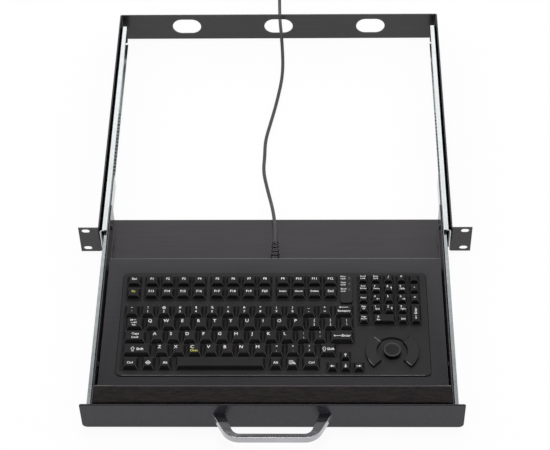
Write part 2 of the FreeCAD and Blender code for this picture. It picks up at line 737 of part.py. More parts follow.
def small_keys():
    """Key groups on the small pitch, as column, row, columns wide and rows deep from a corner."""
    plain = [(column, row, 1, 1) for row in range(3) for column in range(5)]
    plain += [(column, 3, 1, 1) for column in range(4)]
    plain += [(0, 4, 1, 1), (3, 4, 1, 1)]
    arrows = [(1, 0, 1, 1), (0, 1, 1, 1), (1, 1, 1, 1), (2, 1, 1, 1)]
    return [
        ("arrow_keys", "arrow_left", "arrow_rear", arrows),
        ("numpad_keys", "numpad_left", "numpad_rear", plain),
        ("numpad_zero_key", "numpad_left", "numpad_rear", [(1, 4, 2, 1)]),
        ("numpad_enter_key", "numpad_left", "numpad_rear", [(4, 3, 1, 2)]),
    ]


def key_places():
    """Name of every key group, with the middle, size and side slope of each key."""
    groups = []
    for label, row, keys in main_keys():
        places = [(f"{left} + ({width}) / 2", row_y(row), width, "key_pitch", "key_inset")
                  for left, width in keys]
        groups.append((label, places))
    for label, left, rear, keys in small_keys():
        places = []
        for column, row, wide, deep in keys:
            x = f"{left} + {column + wide / 2} * small_pitch"
            y = f"-{rear} - {row + deep / 2} * small_pitch"
            places.append((x, y, f"{wide} * small_pitch", f"{deep} * small_pitch", "small_inset"))
        groups.append((label, places))
    return groups


def key(name, x, y, width, depth, inset):
    """A key with a straight foot in the mat and sides that slope in to its top."""
    half_x = f"((({width}) - key_gap) / 2)"
    half_y = f"((({depth}) - key_gap) / 2)"
    foot = box(f"{name}_foot", around(x, half_x), around(y, half_y), (KEY_BOTTOM, MAT_TOP))
    cap = doc.addObject("Part::Wedge", f"{name}_cap")
    bind(cap, Xmin=f"-{half_x}", Xmax=half_x, Zmin=f"-{half_y}", Zmax=half_y, Ymin="0", Ymax="key_rise",
         X2min=f"{inset} - {half_x}", X2max=f"{half_x} - {inset}",
         Z2min=f"{inset} - {half_y}", Z2max=f"{half_y} - {inset}")
    turn(cap, (1, 0, 0), 90)
    place(cap, x, y, MAT_TOP)
    return fuse(name, foot, cap)


def keys_and_holes():
    """Makes the key groups and returns the openings that the mat needs for them."""
    holes = []
    for label, places in key_places():
        solids = []
        for index, (x, y, width, depth, inset) in enumerate(places):
            solids.append(key(f"{label}_{index}", x, y, width, depth, inset))
            half_x = f"((({width}) - key_gap) / 2 + key_clearance)"
            half_y = f"((({depth}) - key_gap) / 2 + key_clearance)"
            holes.append(box(f"{label}_hole_{index}", around(x, half_x), around(y, half_y), MAT_CUT))
        sub_part(label, *solids)
    return holes


def upright(name, z, radius):
    """A rod on the pointer's axis between two heights."""
    return rod(name, "Z", ("pointer_x", "-pointer_y", z[0]), radius, f"({z[1]}) - ({z[0]})")


def sector(name, start, slack, opening, z):
    """A part of a ring round the pointer, with slack for its opening in the mat."""
    outside = upright(f"{name}_outside", z, f"button_outside + {slack}")
    inside = upright(f"{name}_inside", z, f"button_inside - {slack}")
    outside.setExpression("Angle", cells(opening))
    turn(outside, (0, 0, 1), start - number(opening) / 2)
    return cut(name, outside, inside)


def pointer():
    """Makes the disc, its stem and the two buttons, and returns their openings in the mat."""
    holes = [upright("stem_opening", MAT_CUT, "stem_hole")]
    for label, start in (("right_pointer_button", 0), ("left_pointer_button", 180)):
        z = (KEY_BOTTOM, f"{MAT_TOP} + button_rise")
        sub_part(label, sector(label + "_sector", start, "0", "button_angle", z))
        wide = "button_angle + button_slack_angle"
        holes.append(sector(label + "_opening", start, "key_clearance", wide, MAT_CUT))
    stem_top = f"{MAT_TOP} + stem_rise"
    sub_part("pointer_stem", upright("stem_rod", (f"{BOARD_TOP} + stem_lift", stem_top), "stem_radius"))
    top = f"{MAT_TOP} + puck_rise"
    bottom = f"{MAT_TOP} + puck_lift"
    disc = upright("puck_disc", (bottom, top), "puck_radius")
    socket = upright("puck_socket", (bottom, f"{stem_top} + stem_clearance"), "stem_radius + stem_clearance")
    recess = (f"{top} - puck_dish", f"{top} + cut_margin")
    dish = upright("puck_dish_recess", recess, "puck_radius - puck_rim")
    sub_part("pointer_disc", cut("puck_cut", disc, socket, dish))
    return holes


def keypad_mat(holes):
    half = "(window_width / 2 - side_clearance)"
    front = f"{WINDOW_FRONT} + side_clearance"
    rear = f"{WINDOW_REAR} - side_clearance"
    field = box("mat_field", (f"-{half}", half), (front, rear), (MAT_UNDER, MAT_TOP))
    corners = [(sign * number(half), number(y), number(MAT_TOP)) for sign in (-1, 1) for y in (front, rear)]
    field = rounded("mat_field_rounded", field, (0, 0, 1), corners, "window_corner - side_clearance")
    wide = f"({half} + mat_flange)"
    flange = box("mat_flange_sheet", (f"-{wide}", wide), (f"{front} - mat_flange", f"{rear} + mat_flange"),
                 (MAT_UNDER, BEZEL_UNDER))
    sub_part("keypad_mat", cut("mat_cut", fuse("mat_joined", field, flange), *holes))


def indicators():
    right = "indicator_left + indicator_width"
    front = "-indicator_rear - indicator_depth"
    top = f"{MAT_TOP} + indicator_rise"
    block = box("indicator_plain", ("indicator_left", right), (front, "-indicator_rear"), (MAT_TOP, top))
    corners = [(number(x), number(front), number(top)) for x in ("indicator_left", right)]
    sub_part("indicator_block", rounded("indicator_rounded", block, (0, 0, 1), corners, "indicator_corner"))
    lenses = []
    for index in range(LENS_COUNT):
        y = f"-indicator_rear - lens_margin - {index} * lens_pitch"
        lenses.append(box(f"lens_{index}", around(f"{right} - lens_margin", "lens_width / 2"),
                          around(y, "lens_depth / 2"), (top, f"{top} + lens_rise")))
    sub_part("indicator_lenses", *lenses)


def switch_board():
    half = "(window_width / 2 + mat_flange)"
    y = (f"{WINDOW_FRONT} - mat_flange", f"{WINDOW_REAR} + mat_flange")
    bottom = f"{BOARD_TOP} - board_thickness"
    sub_part("switch_board", box("board_plate", (f"-{half}", half), y, (bottom, BOARD_TOP)))
    posts = []
    for column, x in enumerate(STANDOFF_X):
        for row, at in enumerate((f"{y[0]} + {STANDOFF_INSET}", f"{y[1]} - {STANDOFF_INSET}")):
            posts.append(prism(f"standoff_{column}{row}", "Z", (str(x), at, TRAY_FLOOR), HEAD_FLATS,
                               "standoff_radius", f"{bottom} - {TRAY_FLOOR}"))
    sub_part("board_standoffs", *posts)


def strain_relief():
    """A stepped taper round the cable, with a neck that holds the bezel's rear wall."""
    inner = f"{BEZEL_REAR} - bezel_sheet"
    lumps = [
        (f"{inner} - boot_flange", "boot_flange", "boot_base_radius"),
        (inner, "bezel_sheet", "boot_neck_radius"),
        (BEZEL_REAR, "boot_length", "boot_core_radius"),
    ]
    for rib in range(BOOT_RIBS):
        start = f"{BEZEL_REAR} + {rib} * boot_length / {BOOT_RIBS}"
        taper = f"(boot_base_radius - boot_tip_radius) * {rib} / {BOOT_RIBS}"
        lumps.append((start, "boot_rib", f"boot_base_radius - {taper}"))
    solids = [prism(f"boot_{index}", "Y", ("0", start, BOOT_Z), ROUND_FLATS, radius, length)
              for index, (start, length, radius) in enumerate(lumps)]
    sub_part("strain_relief", fuse("boot_joined", *solids))


def cable_route():
    """Points from the strain relief along the ground, through the middle rear slot, to the coil."""
    tip = number(f"{BOOT_TIP} + cable_gap")
    rear = number("chassis_depth")
    route = [(0, tip, number(BOOT_Z))]
    route += [(x, tip + share * (rear - tip), z) for x, share, z in GROUND_RUN]
    return route + [(x, rear + beyond, z) for x, beyond, z in REAR_RUN]


def tail_route():
    return [(number(PLUG_X) + x, number(PLUG_Y) + y, z) for x, y, z in TAIL_RUN]


def cord_path(route):
    """Straight runs joined by arcs as large as the runs allow, with the radius of each."""
    points = [FreeCAD.Vector(*point) for point in route]
    edges = []
    radii = []
    at = points[0]
    for before, corner, after in zip(points, points[1:], points[2:]):
        arriving = (corner - before).normalize()
        leaving = (after - corner).normalize()
        half_turn = arriving.getAngle(leaving) / 2
        reach = ARC_SHARE * min(before.distanceToPoint(corner), corner.distanceToPoint(after))
        radius = reach / math.tan(half_turn)
        inward = (leaving - arriving).normalize()
        start = corner - arriving * reach
        end = corner + leaving * reach
        middle = corner + inward * (radius / math.cos(half_turn) - radius)
        edges += [Part.LineSegment(at, start).toShape(), Part.Arc(start, middle, end).toShape()]
        radii.append(round(radius, 1))
        at = end
    edges.append(Part.LineSegment(at, points[-1]).toShape())
    return Part.Wire(edges), radii


def cord_solid(name, route):
    path, radii = cord_path(route)
    diameter = number("cable_diameter")
    start = FreeCAD.Vector(*route[0])
    heading = FreeCAD.Vector(*route[1]) - start
    frame = FreeCAD.Placement(start, FreeCAD.Rotation(FreeCAD.Vector(0, 0, 1), heading))
    turns = [2 * math.pi * index / CORD_FLATS for index in range(CORD_FLATS + 1)]
    flat = [FreeCAD.Vector(math.cos(angle), math.sin(angle), 0) * diameter / 2 for angle in turns]
    section = Part.makePolygon([frame.multVec(corner) for corner in flat])
    solid = path.makePipeShell([section], True, False)
    expected = Part.Face(section).Area * path.Length
    print(f"{name}: length {path.Length:.1f}, volume over section times length {solid.Volume / expected:.4f}")
    print(f"{name}: bend radii {radii}")
    tube = doc.addObject("Part::Feature", name)
    tube.Shape = solid
    return tube


def cable():
    run_solid = cord_solid("cable_run", cable_route())
    sub_part("keyboard_cable", run_solid, cord_solid("cable_tail", tail_route()))
    rings = []
    for side, sign in (("outside", "+"), ("inside", "-")):
        radius = f"coil_radius {sign} coil_bundle / 2"
        rings.append(prism(f"coil_{side}", "Z", ("coil_x", COIL_Y, "0"), ROUND_FLATS, radius, "coil_bundle"))
    sub_part("cable_coil", cut("coil_ring", *rings))
    face = f"{PLUG_X} + plug_length"
    sides = around(PLUG_Y, "plug_width / 2")
    moulding = box("plug_block", (PLUG_X, face), sides, ("0", "plug_height"))
    middle = number(f"{PLUG_X} + plug_length / 2")
    edges = [(middle, number(y), z) for y in sides for z in (0, number("plug_height"))]
    sub_part("plug_moulding", rounded("plug_rounded", moulding, (1, 0, 0), edges, "plug_round"))
    shell = box("shell_block", (face, f"{face} + shell_length"), around(PLUG_Y, "shell_width / 2"),
                around(PLUG_Z, "shell_height / 2"))
    sub_part("plug_shell", shell)


def check_document():
    for thing in doc.Objects:
        if "Invalid" in thing.State or "Error" in thing.State:
            raise RuntimeError(f"{thing.Name} failed: {thing.State}")
    for piece in sub_parts:
        if piece.Shape.isNull() or not piece.Shape.isValid():
            raise RuntimeError(f"{piece.Label} has no valid shape")


def main():
    fill_sheet()
    chassis_frame()
    outer_rails()
    inner_rails()
    ball_cages()
    drawer_tray()
    front_panel()
    pull_handle()
    palm_rest()
    keyboard_bezel()
    switch_board()
    keypad_mat(keys_and_holes() + pointer())
    indicators()
    strain_relief()
    cable()
    doc.recompute()
    check_document()
    os.makedirs("parts", exist_ok=True)
    for piece in sub_parts:
        piece.Shape.exportStep(f"parts/{piece.Label}.step")
    print(f"wrote {len(sub_parts)} sub-parts")


main()
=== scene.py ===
# %% [markdown]
# # A rackmount keyboard drawer
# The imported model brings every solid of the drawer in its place, in metres, with the drawer pulled out. This
# lesson gives each piece its finish, and swaps a plain solid for a better mesh wherever the real piece is
# softer, rounder or finer. The solids stay the frame, so nothing has to be fitted by eye.

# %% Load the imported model
import json
import math

import bmesh
import bpy
from mathutils import Matrix, Vector


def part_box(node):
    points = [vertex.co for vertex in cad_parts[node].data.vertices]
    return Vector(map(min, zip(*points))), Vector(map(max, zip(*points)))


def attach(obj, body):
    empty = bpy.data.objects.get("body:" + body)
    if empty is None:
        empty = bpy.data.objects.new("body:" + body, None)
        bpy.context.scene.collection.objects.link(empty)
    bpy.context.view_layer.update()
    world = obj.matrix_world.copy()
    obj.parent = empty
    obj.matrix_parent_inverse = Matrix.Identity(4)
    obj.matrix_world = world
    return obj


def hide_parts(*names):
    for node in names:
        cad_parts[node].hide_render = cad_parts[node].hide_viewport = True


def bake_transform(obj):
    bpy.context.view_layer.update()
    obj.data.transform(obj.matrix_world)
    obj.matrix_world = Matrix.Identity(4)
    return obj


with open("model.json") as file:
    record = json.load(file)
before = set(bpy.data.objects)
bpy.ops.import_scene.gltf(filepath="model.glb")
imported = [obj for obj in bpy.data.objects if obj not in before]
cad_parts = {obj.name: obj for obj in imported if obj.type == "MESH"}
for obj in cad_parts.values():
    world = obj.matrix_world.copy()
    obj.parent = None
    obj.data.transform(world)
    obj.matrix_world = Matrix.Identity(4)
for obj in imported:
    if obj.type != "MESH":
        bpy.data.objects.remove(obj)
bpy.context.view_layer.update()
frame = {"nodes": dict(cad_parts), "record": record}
solids = frame["nodes"]
record = frame["record"]
body_of_solid = {node: body for body, names in record["behaviour"]["bodies"].items() for node in names}
MM = 0.001
EARS_Y = -45.9


def spot(x, y, z):
    """A point in metres, from millimetres with y counted from the front of the rack ears."""
    return Vector((x, y + EARS_Y, z)) * MM


# %% [markdown]
# ## Camera
# The photograph was taken from high in front of the drawer with a long lens. The position, the three turns
# and the focal length were solved from known sizes (ear spacing, key pitch), so the camera is typed in as
# numbers. A focal length in pixels becomes millimetres through the sensor width.

# %% Put the camera where the photographer stood
def in_scene(name, data):
    """A new object in the scene, at the origin."""
    made = bpy.data.objects.new(name, data)
    bpy.context.scene.collection.objects.link(made)
    return made


PHOTO_WIDTH = 550
FOCAL_PIXELS = 1698.304
lens_data = bpy.data.cameras.new("photo_camera")
lens_data.sensor_fit = "HORIZONTAL"
lens_data.sensor_width = 36
lens_data.lens = lens_data.sensor_width * FOCAL_PIXELS / PHOTO_WIDTH
camera = in_scene("photo_camera", lens_data)
pitch, yaw, roll = (math.radians(angle) for angle in (49.2909, 1.84698, -1.49445))
aim = (Matrix.Rotation(yaw, 4, "Z") @ Matrix.Rotation(math.pi / 2 - pitch, 4, "X")
       @ Matrix.Rotation(roll, 4, "Z"))
camera.matrix_world = Matrix.Translation((0.04386, -1.39665, 1.62010)) @ aim
bpy.context.scene.camera = camera
bpy.context.scene.view_settings.view_transform = "Standard"
print(f"lens {lens_data.lens:.1f} mm")

# %% [markdown]
# ## Node maths as Python
# Materials and geometry trees are both node trees. One small class wraps an output socket, so that
# `1 - mask` adds its Math node by itself, and a single method adds any other node: settings first, then
# sockets. Writing expressions keeps a whole finish on a few lines that can be read aloud.

# %% A socket that does arithmetic
class Wire:
    """An output socket of a node tree. Operators on it add Math nodes, node() adds any other node."""

    def __init__(self, tree, socket=None):
        self.tree = tree
        self.socket = socket

    def node(self, kind, settings=None, sockets=None, output=0):
        made = self.tree.nodes.new(kind)
        for name, value in (settings or {}).items():
            setattr(made, name, value)
        for key, value in (sockets or {}).items():
            if isinstance(value, Wire):
                self.tree.links.new(value.socket, made.inputs[key])
            else:
                made.inputs[key].default_value = value
        return Wire(self.tree, made.outputs[output])

    def math(self, operation, first, second=0.0):
        return self.node("ShaderNodeMath", {"operation": operation}, {0: first, 1: second})

    def __add__(self, other):
        return self.math("ADD", self, other)

    def __sub__(self, other):
        return self.math("SUBTRACT", self, other)

    def __rsub__(self, other):
        return self.math("SUBTRACT", other, self)

    def __mul__(self, other):
        return self.math("MULTIPLY", self, other)

    def clamped(self, low, high):
        """0 below low, 1 above high, a straight rise between."""
        return self.node("ShaderNodeMapRange", {"clamp": True},
                         {"Value": self, "From Min": low, "From Max": high}, output="Result")


print("wires ready")

# %% Short words for the nodes used most
def colour_mix(factor, first, second):
    """A colour between two others."""
    return factor.node("ShaderNodeMix", {"data_type": "RGBA"}, {0: factor, 6: first, 7: second}, output=2)


def grain(place, scale, detail=2.0, stretch=(1, 1, 1)):
    """Noise at so many lumps a metre, drawn out along an axis where stretch is small."""
    turned = place.node("ShaderNodeMapping", None, {"Vector": place, "Scale": stretch})
    return place.node("ShaderNodeTexNoise", None, {"Vector": turned, "Scale": scale, "Detail": detail})


def bump(height, depth):
    """A surface normal from a height between 0 and 1, so many metres deep."""
    return height.node("ShaderNodeBump", None, {"Height": height, "Distance": depth, "Strength": 1.0},
                       output="Normal")


def axis_of(place, axis):
    """One of the three numbers of a place."""
    return place.node("ShaderNodeSeparateXYZ", None, {"Vector": place}, output=axis)


print("node words ready")

# %% Tones and finishes
def mottled(scale, dark, light):
    """A colour that drifts between two tones, at so many lumps a metre."""
    return lambda place: colour_mix(grain(place, scale), dark, light)


def uneven(scale, spread, least):
    """A roughness that drifts upwards from its least value."""
    return lambda place: grain(place, scale) * spread + least


def tone(red, green, blue):
    """A colour from the 0 to 255 numbers that a paint program shows."""
    parts = [part / 255 for part in (red, green, blue)]
    return tuple(p / 12.92 if p <= 0.04045 else ((p + 0.055) / 1.055) ** 2.4 for p in parts) + (1.0,)


def new_finish(name, constants, colour, roughness, normal=None):
    """A material with constants on the shader's sockets; the others are functions of Object coordinates."""
    material = bpy.data.materials.new(name)
    material.use_nodes = True
    tree = material.node_tree
    shader = tree.nodes["Principled BSDF"]
    for socket, value in constants.items():
        shader.inputs[socket].default_value = value
    place = Wire(tree).node("ShaderNodeTexCoord", output="Object")
    for socket, make in (("Base Color", colour), ("Roughness", roughness), ("Normal", normal)):
        if make:
            tree.links.new(make(place).socket, shader.inputs[socket])
    return material


print("finish words ready")

# %% [markdown]
# ## Studio
# The drawer lies on a white table under soft light. The main panel lamp hangs overhead and a little behind,
# so the fronts of keys fall into shade, and two weak ones stand left and right. The studio is a bright
# backdrop low down and dark overhead, which gives bright metal something to mirror. The table is white to the
# camera through Light Path, and keeps part of its own shading, so the shadow stays.

# %% White table
TABLE_HALF, TABLE_TOP = 8, -0.0004
SEEN_WHITE = 0.93
corners = [(TABLE_HALF * x, TABLE_HALF * y, TABLE_TOP) for x, y in ((-1, -1), (1, -1), (1, 1), (-1, 1))]
table_mesh = bpy.data.meshes.new("table")
table_mesh.from_pydata(corners, [], [(0, 1, 2, 3)])
table = in_scene("table", table_mesh)
white = bpy.data.materials.new("white_table")
white.use_nodes = True
start = Wire(white.node_tree)
rays = [start.node("ShaderNodeLightPath", output=kind)
        for kind in ("Is Camera Ray", "Is Glossy Ray", "Is Transmission Ray")]
paper = start.node("ShaderNodeBsdfDiffuse", None, {"Color": tone(240, 240, 240)})
glow = start.node("ShaderNodeEmission", None, {"Color": tone(255, 255, 255), "Strength": 1.0})
seen = (rays[0] + rays[1] + rays[2]).clamped(0, 1) * SEEN_WHITE
shown = start.node("ShaderNodeMixShader", None, {0: seen, 1: paper, 2: glow})
white.node_tree.links.new(shown.socket, white.node_tree.nodes["Material Output"].inputs["Surface"])
table_mesh.materials.append(white)
print("table", table_mesh.vertices[2].co[:2])

# %% Studio sky and lamps
world = bpy.data.worlds.new("studio")
world.use_nodes = True
bpy.context.scene.world = world
start = Wire(world.node_tree)
ray = start.node("ShaderNodeTexCoord", output="Generated")
backdrop = 1 - axis_of(ray, "Z").clamped(0.75, 0.825)
behind = axis_of(ray, "Y").clamped(-0.2, 0.5)
sky = backdrop * (behind * 0.90 + 0.30) + 0.18
lit = start.node("ShaderNodeBackground", None, {"Color": sky, "Strength": 1.0})
blank = start.node("ShaderNodeBackground", None, {"Color": tone(255, 255, 255), "Strength": 1.0})
straight = start.node("ShaderNodeLightPath", output="Is Camera Ray")
view = start.node("ShaderNodeMixShader", None, {0: straight, 1: lit, 2: blank})
world.node_tree.links.new(view.socket, world.node_tree.nodes["World Output"].inputs["Surface"])


def soft_lamp(name, place, target, size, watts):
    """A square panel lamp that faces a point."""
    data = bpy.data.lights.new(name, "AREA")
    data.size = size
    data.energy = watts
    lamp = in_scene(name, data)
    toward = Vector(target) - Vector(place)
    lamp.matrix_world = Matrix.Translation(place) @ toward.to_track_quat("-Z", "Y").to_matrix().to_4x4()


soft_lamp("overhead_panel_lamp", (0.0, 0.15, 2.6), (0, -0.1, 0), 1.0, 31)
soft_lamp("left_panel_lamp", (-2.0, -0.1, 1.9), (0, 0, 0), 1.2, 4)
soft_lamp("right_panel_lamp", (2.0, -0.1, 1.9), (0, 0, 0), 1.2, 4)
print("three panel lamps")

# %% [markdown]
# ## Finishes
# Black powder coat on the folded steel, satin paint on the front panel, bright zinc on the slides, chrome on
# the handle, matt silicone on the keypad. None is one flat colour: each has the grain that shows when the
# eye comes near, slow drifts that break up large faces, and a matching grain in roughness or bump.

# %% Powder coat: orange peel, fine lighter grit, slow drift
def sprayed(name, specular, base, light, peel, rough=0.3):
    """A sprayed coat, from a base tone, a lighter tone, the peel's depth and the least roughness."""
    def colour(place):
        drift = grain(place, 9, 3).clamped(0.3, 0.7) * 0.4
        wiped = grain(place, 420, 2, (0.03, 1, 1)).clamped(0.35, 0.65) * 0.35
        grit = grain(place, 2600, 1).clamped(0.56, 0.74) * 0.4
        return colour_mix(drift + wiped + grit, base, light)

    def normal(place):
        return bump(grain(place, 900) + grain(place, 2400, 1) * 0.4, peel)

    return new_finish(name, {"Specular IOR Level": specular}, colour, uneven(420, 0.16, rough), normal)


powder_coat = sprayed("black_powder_coat", 0.5, tone(37, 34, 37), tone(49, 45, 49), 0.000006, 0.12)
# a darker copy of the powder coat for the cover: painted shade for the light that falls off toward the front
cover_coat_shaded = sprayed("black_cover_coat_painted_shade", 0.4, tone(30, 28, 32), tone(41, 39, 43), 0.000006, 0.12)
# a lighter coat for bevelled edges: a painted highlight
powder_edge_highlight = sprayed("powder_coat_painted_highlight", 0.6, tone(78, 77, 80), tone(104, 103, 106), 0.00002)
panel_paint = sprayed("satin_panel_paint", 0.33, tone(38, 37, 44), tone(44, 43, 50), 0.000006, 0.2)
# a darker copy of the panel paint for the panel's rounded edges, painted shade
panel_edge_shade = sprayed("panel_paint_painted_shade", 0.2, tone(20, 20, 21), tone(30, 30, 32), 0.00001)
print("paints:", powder_coat.name, panel_paint.name)

# %% Bright zinc, polished balls, chrome
def metal(name, *looks):
    return new_finish(name, {"Metallic": 1.0}, *looks)


def zinc_tones(dark, light):
    """The colour of a zinc plate: a faint spangle between two tones."""
    return lambda place: colour_mix(grain(place, 160).clamped(0.35, 0.7), dark, light)


def zinc_rough(place):
    drawn = grain(place, 700, 2, (1, 0.02, 1))
    return drawn * 0.12 + grain(place, 60) * 0.03 + 0.12


def zinc_lines(place):
    return bump(grain(place, 900, 2, (1, 0.015, 1)), 0.00001)


def chrome_rough(place):
    wipe = grain(place, 240, 3, (0.15, 1, 1)).clamped(0.45, 0.8)
    return wipe * 0.10 + 0.10


zinc_colour = zinc_tones(tone(208, 212, 213), tone(216, 220, 221))
# a darker copy of the zinc tones, for the inner channels
darker_zinc_colour = zinc_tones(tone(166, 172, 174), tone(182, 188, 190))
zinc_plate = metal("bright_zinc_plate", zinc_colour, zinc_rough, zinc_lines)
zinc_darker = metal("darker_zinc_plate", darker_zinc_colour, zinc_rough, zinc_lines)
# dark zinc for bends beside a wall: painted shade for the narrow gap
zinc_painted_shade = metal("zinc_painted_shade_in_bends", mottled(220, tone(50, 51, 52), tone(76, 77, 78)), zinc_rough)
chrome = metal("handle_chrome", mottled(35, tone(166, 166, 170), tone(184, 184, 188)), chrome_rough)
# a dark steel tone for the balls
dark_ball_steel = metal("dark_steel_balls", mottled(300, tone(46, 46, 48), tone(84, 84, 86)),
                   uneven(500, 0.1, 0.08))
print("metals:", zinc_plate.name, chrome.name, dark_ball_steel.name)

# %% Silicone, sheath, rubber, moulded plastic
# the light tone painted on marked edges: a painted highlight
HIGHLIGHT_TONE = tone(96, 94, 96)


def moulded(name, specular, base, light, rough, depth, scale):
    """A soft matt plastic or rubber: a fine eroded skin, a slow bloom, and a painted highlight tone on marked
    edges.
    """
    def colour(place):
        bloom = grain(place, 40, 3).clamped(0.35, 0.75)
        skin = grain(place, scale, 1).clamped(0.4, 0.8)
        # vertices marked 'edge' are mixed toward the light tone, a painted highlight
        edge = place.node("ShaderNodeAttribute", {"attribute_name": "edge"}, output="Fac")
        return colour_mix(edge, colour_mix(bloom * 0.6 + skin * 0.4, base, light), HIGHLIGHT_TONE)

    def normal(place):
        return bump(grain(place, scale), depth)

    return new_finish(name, {"Specular IOR Level": specular}, colour, uneven(scale * 0.3, 0.2, rough), normal)


silicone = moulded("key_silicone", 0.14, tone(25, 23, 25), tone(32, 30, 32), 0.40, 0.000006, 1800)
mat_silicone = moulded("mat_silicone", 0.18, tone(31, 29, 30), tone(38, 36, 37), 0.42, 0.000008, 1500)
sheath = moulded("cable_sheath", 0.4, tone(54, 53, 54), tone(68, 67, 68), 0.36, 0.000008, 1200)
boot_rubber = moulded("boot_rubber", 0.25, tone(12, 11, 12), tone(19, 18, 18), 0.5, 0.00001, 1400)
# a pale rubber tone, a painted highlight on the boot's rib rims and the crescents' ends
highlight_rubber = moulded("rubber_painted_highlight", 0.3, tone(104, 102, 103), tone(138, 136, 137), 0.5, 0.00001, 1400)
pointer_plastic = moulded("pointer_plastic", 0.12, tone(27, 26, 27), tone(34, 33, 34), 0.34, 0.000004, 2200)
# near black, painted shade: the window edges, the block's sides, the disc's side wall, and beads in shadowed
# gaps
painted_shade_black = moulded("painted_shade_black", 0.1, tone(8, 8, 8), tone(15, 15, 15), 0.5, 0.000004, 900)
white_ink, yellow_ink = (
    new_finish(name, {"Specular IOR Level": 0.3}, mottled(900, dark, light), uneven(700, 0.2, 0.4))
    for name, dark, light in (("white_legend_ink", tone(222, 222, 222), tone(244, 244, 244)),
                              ("yellow_legend_ink", tone(196, 190, 70), tone(220, 214, 96))))
print("soft finishes:", silicone.name, sheath.name, boot_rubber.name)

# %% [markdown]
# ## Shared steps for every piece
# A finished piece stands for one or more solids: it rides on their body, and they are hidden.
# Repeating things are grown by a geometry tree and then frozen into a plain mesh, because what leaves
# Blender afterwards is plain meshes.

# %% Link, stand in, and freeze
def linked(name, mesh, *finishes):
    """A new piece with its finishes in order."""
    for finish in finishes:
        mesh.materials.append(finish)
    return in_scene(name, mesh)


def stands_for(piece, *names):
    """The piece takes the place of these solids, on their body."""
    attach(piece, body_of_solid[names[0]])
    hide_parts(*names)
    return piece


def as_mesh(piece):
    """What a piece looks like with its modifiers, as a new mesh."""
    bpy.context.view_layer.update()
    return bpy.data.meshes.new_from_object(piece.evaluated_get(bpy.context.evaluated_depsgraph_get()))


def frozen(piece):
    """The same piece, on the plain mesh that its modifiers make."""
    plain = as_mesh(piece)
    piece.modifiers.clear()
    before, piece.data = piece.data, plain
    bpy.data.meshes.remove(before)
    return piece


def with_modifier(piece, kind, **settings):
    """Puts a modifier on a piece and sets it up."""
    modifier = piece.modifiers.new(kind, kind)
    for name, value in settings.items():
        setattr(modifier, name, value)
    return modifier


def mesh_of(shape, name):
    """Ends the editing of a shape and gives its mesh."""
    mesh = bpy.data.meshes.new(name)
    shape.to_mesh(mesh)
    shape.free()
    return mesh


def band(shape, lower, upper):
    """Quads between two rings of a shape's points."""
    count = len(lower)
    return [shape.faces.new((lower[i], lower[(i + 1) % count], upper[(i + 1) % count], upper[i]))
            for i in range(count)]


def all_smooth(mesh):
    mesh.polygons.foreach_set("use_smooth", [True] * len(mesh.polygons))


print("piece steps ready")

# %% Grow a piece with a geometry tree
def new_tree(name, **sizes):
    """An empty geometry tree with named inputs, and the wires that come out of its input node."""
    tree = bpy.data.node_groups.new(name, "GeometryNodeTree")
    tree.interface.new_socket("Base", in_out="INPUT", socket_type="NodeSocketGeometry")
    for label, kind in sizes.items():
        tree.interface.new_socket(label, in_out="INPUT", socket_type=f"NodeSocket{kind}")
    tree.interface.new_socket("Piece", in_out="OUTPUT", socket_type="NodeSocketGeometry")
    entry = tree.nodes.new("NodeGroupInput")
    return tree, {socket.name: Wire(tree, socket) for socket in entry.outputs if socket.name}


def close_tree(tree, shape, finish):
    """Ends a tree: instances become real, shading smooth, and the finish is set."""
    real = shape.node("GeometryNodeRealizeInstances", None, {0: shape})
    smooth = real.node("GeometryNodeSetShadeSmooth", None, {0: real})
    done = smooth.node("GeometryNodeSetMaterial", None, {"Geometry": smooth, "Material": finish})
    tree.links.new(done.socket, tree.nodes.new("NodeGroupOutput").inputs[0])


def grown(name, base, tree, finish, **sizes):
    """Runs a tree on a base mesh with its inputs set, and freezes what it makes."""
    piece = linked(name, base, finish)
    modifier = with_modifier(piece, "NODES", node_group=tree)
    for item in tree.interface.items_tree:
        if item.in_out == "INPUT" and item.name in sizes:
            modifier[item.identifier] = sizes[item.name]
    return frozen(piece)


print("tree steps ready")

# %% [markdown]
# ## Folded sheet and moulded blocks
# No real sheet edge is razor sharp: paint gathers on it, and it catches a line of light. Each solid is
# copied, its loose triangles are merged into whole faces, and a small bevel with hardened normals rounds the
# edges while the flats stay flat. The bevel's own material slot carries a tone of its own: on the folded
# steel a lighter one, a painted highlight along the edge.

# %% Copy a solid with softened edges
def merged(node):
    """A solid's surface with its doubles merged and its flat triangles joined into whole faces."""
    source = solids[node].data
    plain = bpy.data.meshes.new(node)
    plain.from_pydata([v.co for v in source.vertices], [], [p.vertices[:] for p in source.polygons])
    shape = bmesh.new()
    shape.from_mesh(plain)
    bpy.data.meshes.remove(plain)
    bmesh.ops.remove_doubles(shape, verts=shape.verts, dist=2e-6)
    bmesh.ops.dissolve_limit(shape, angle_limit=math.radians(1), verts=shape.verts, edges=shape.edges)
    return shape


def rounded_edges(piece, width, segments=2, above=32):
    """Bevels a piece's sharp edges, in the last of its finishes, and freezes it."""
    all_smooth(piece.data)
    with_modifier(piece, "BEVEL", width=width * MM, segments=segments, limit_method="ANGLE",
                  angle_limit=math.radians(above), harden_normals=True,
                  material=len(piece.data.materials) - 1)
    return frozen(piece)


def softened(node, width, *finishes, segments=2):
    """A copy of a solid with rounded edges, which stands for it."""
    name = f"{node}_soft"
    copy = linked(name, mesh_of(merged(node), name), *finishes)
    return stands_for(rounded_edges(copy, width, segments), node)


print("edge rounding ready")

# %% [markdown]
# ## Cable
# A round lead, 4.5 mm thick, comes straight out of the strain relief, drops to the table, wanders to the
# rear panel, rises through the middle slot and falls behind it. Its line is one NURBS spline whose control
# points are the model's own route. The length that the photograph doesn't show lies behind the panel in a
# neat coil with a tie, and the turns are more points of the same spline. A lead like this is about 1.7 m.

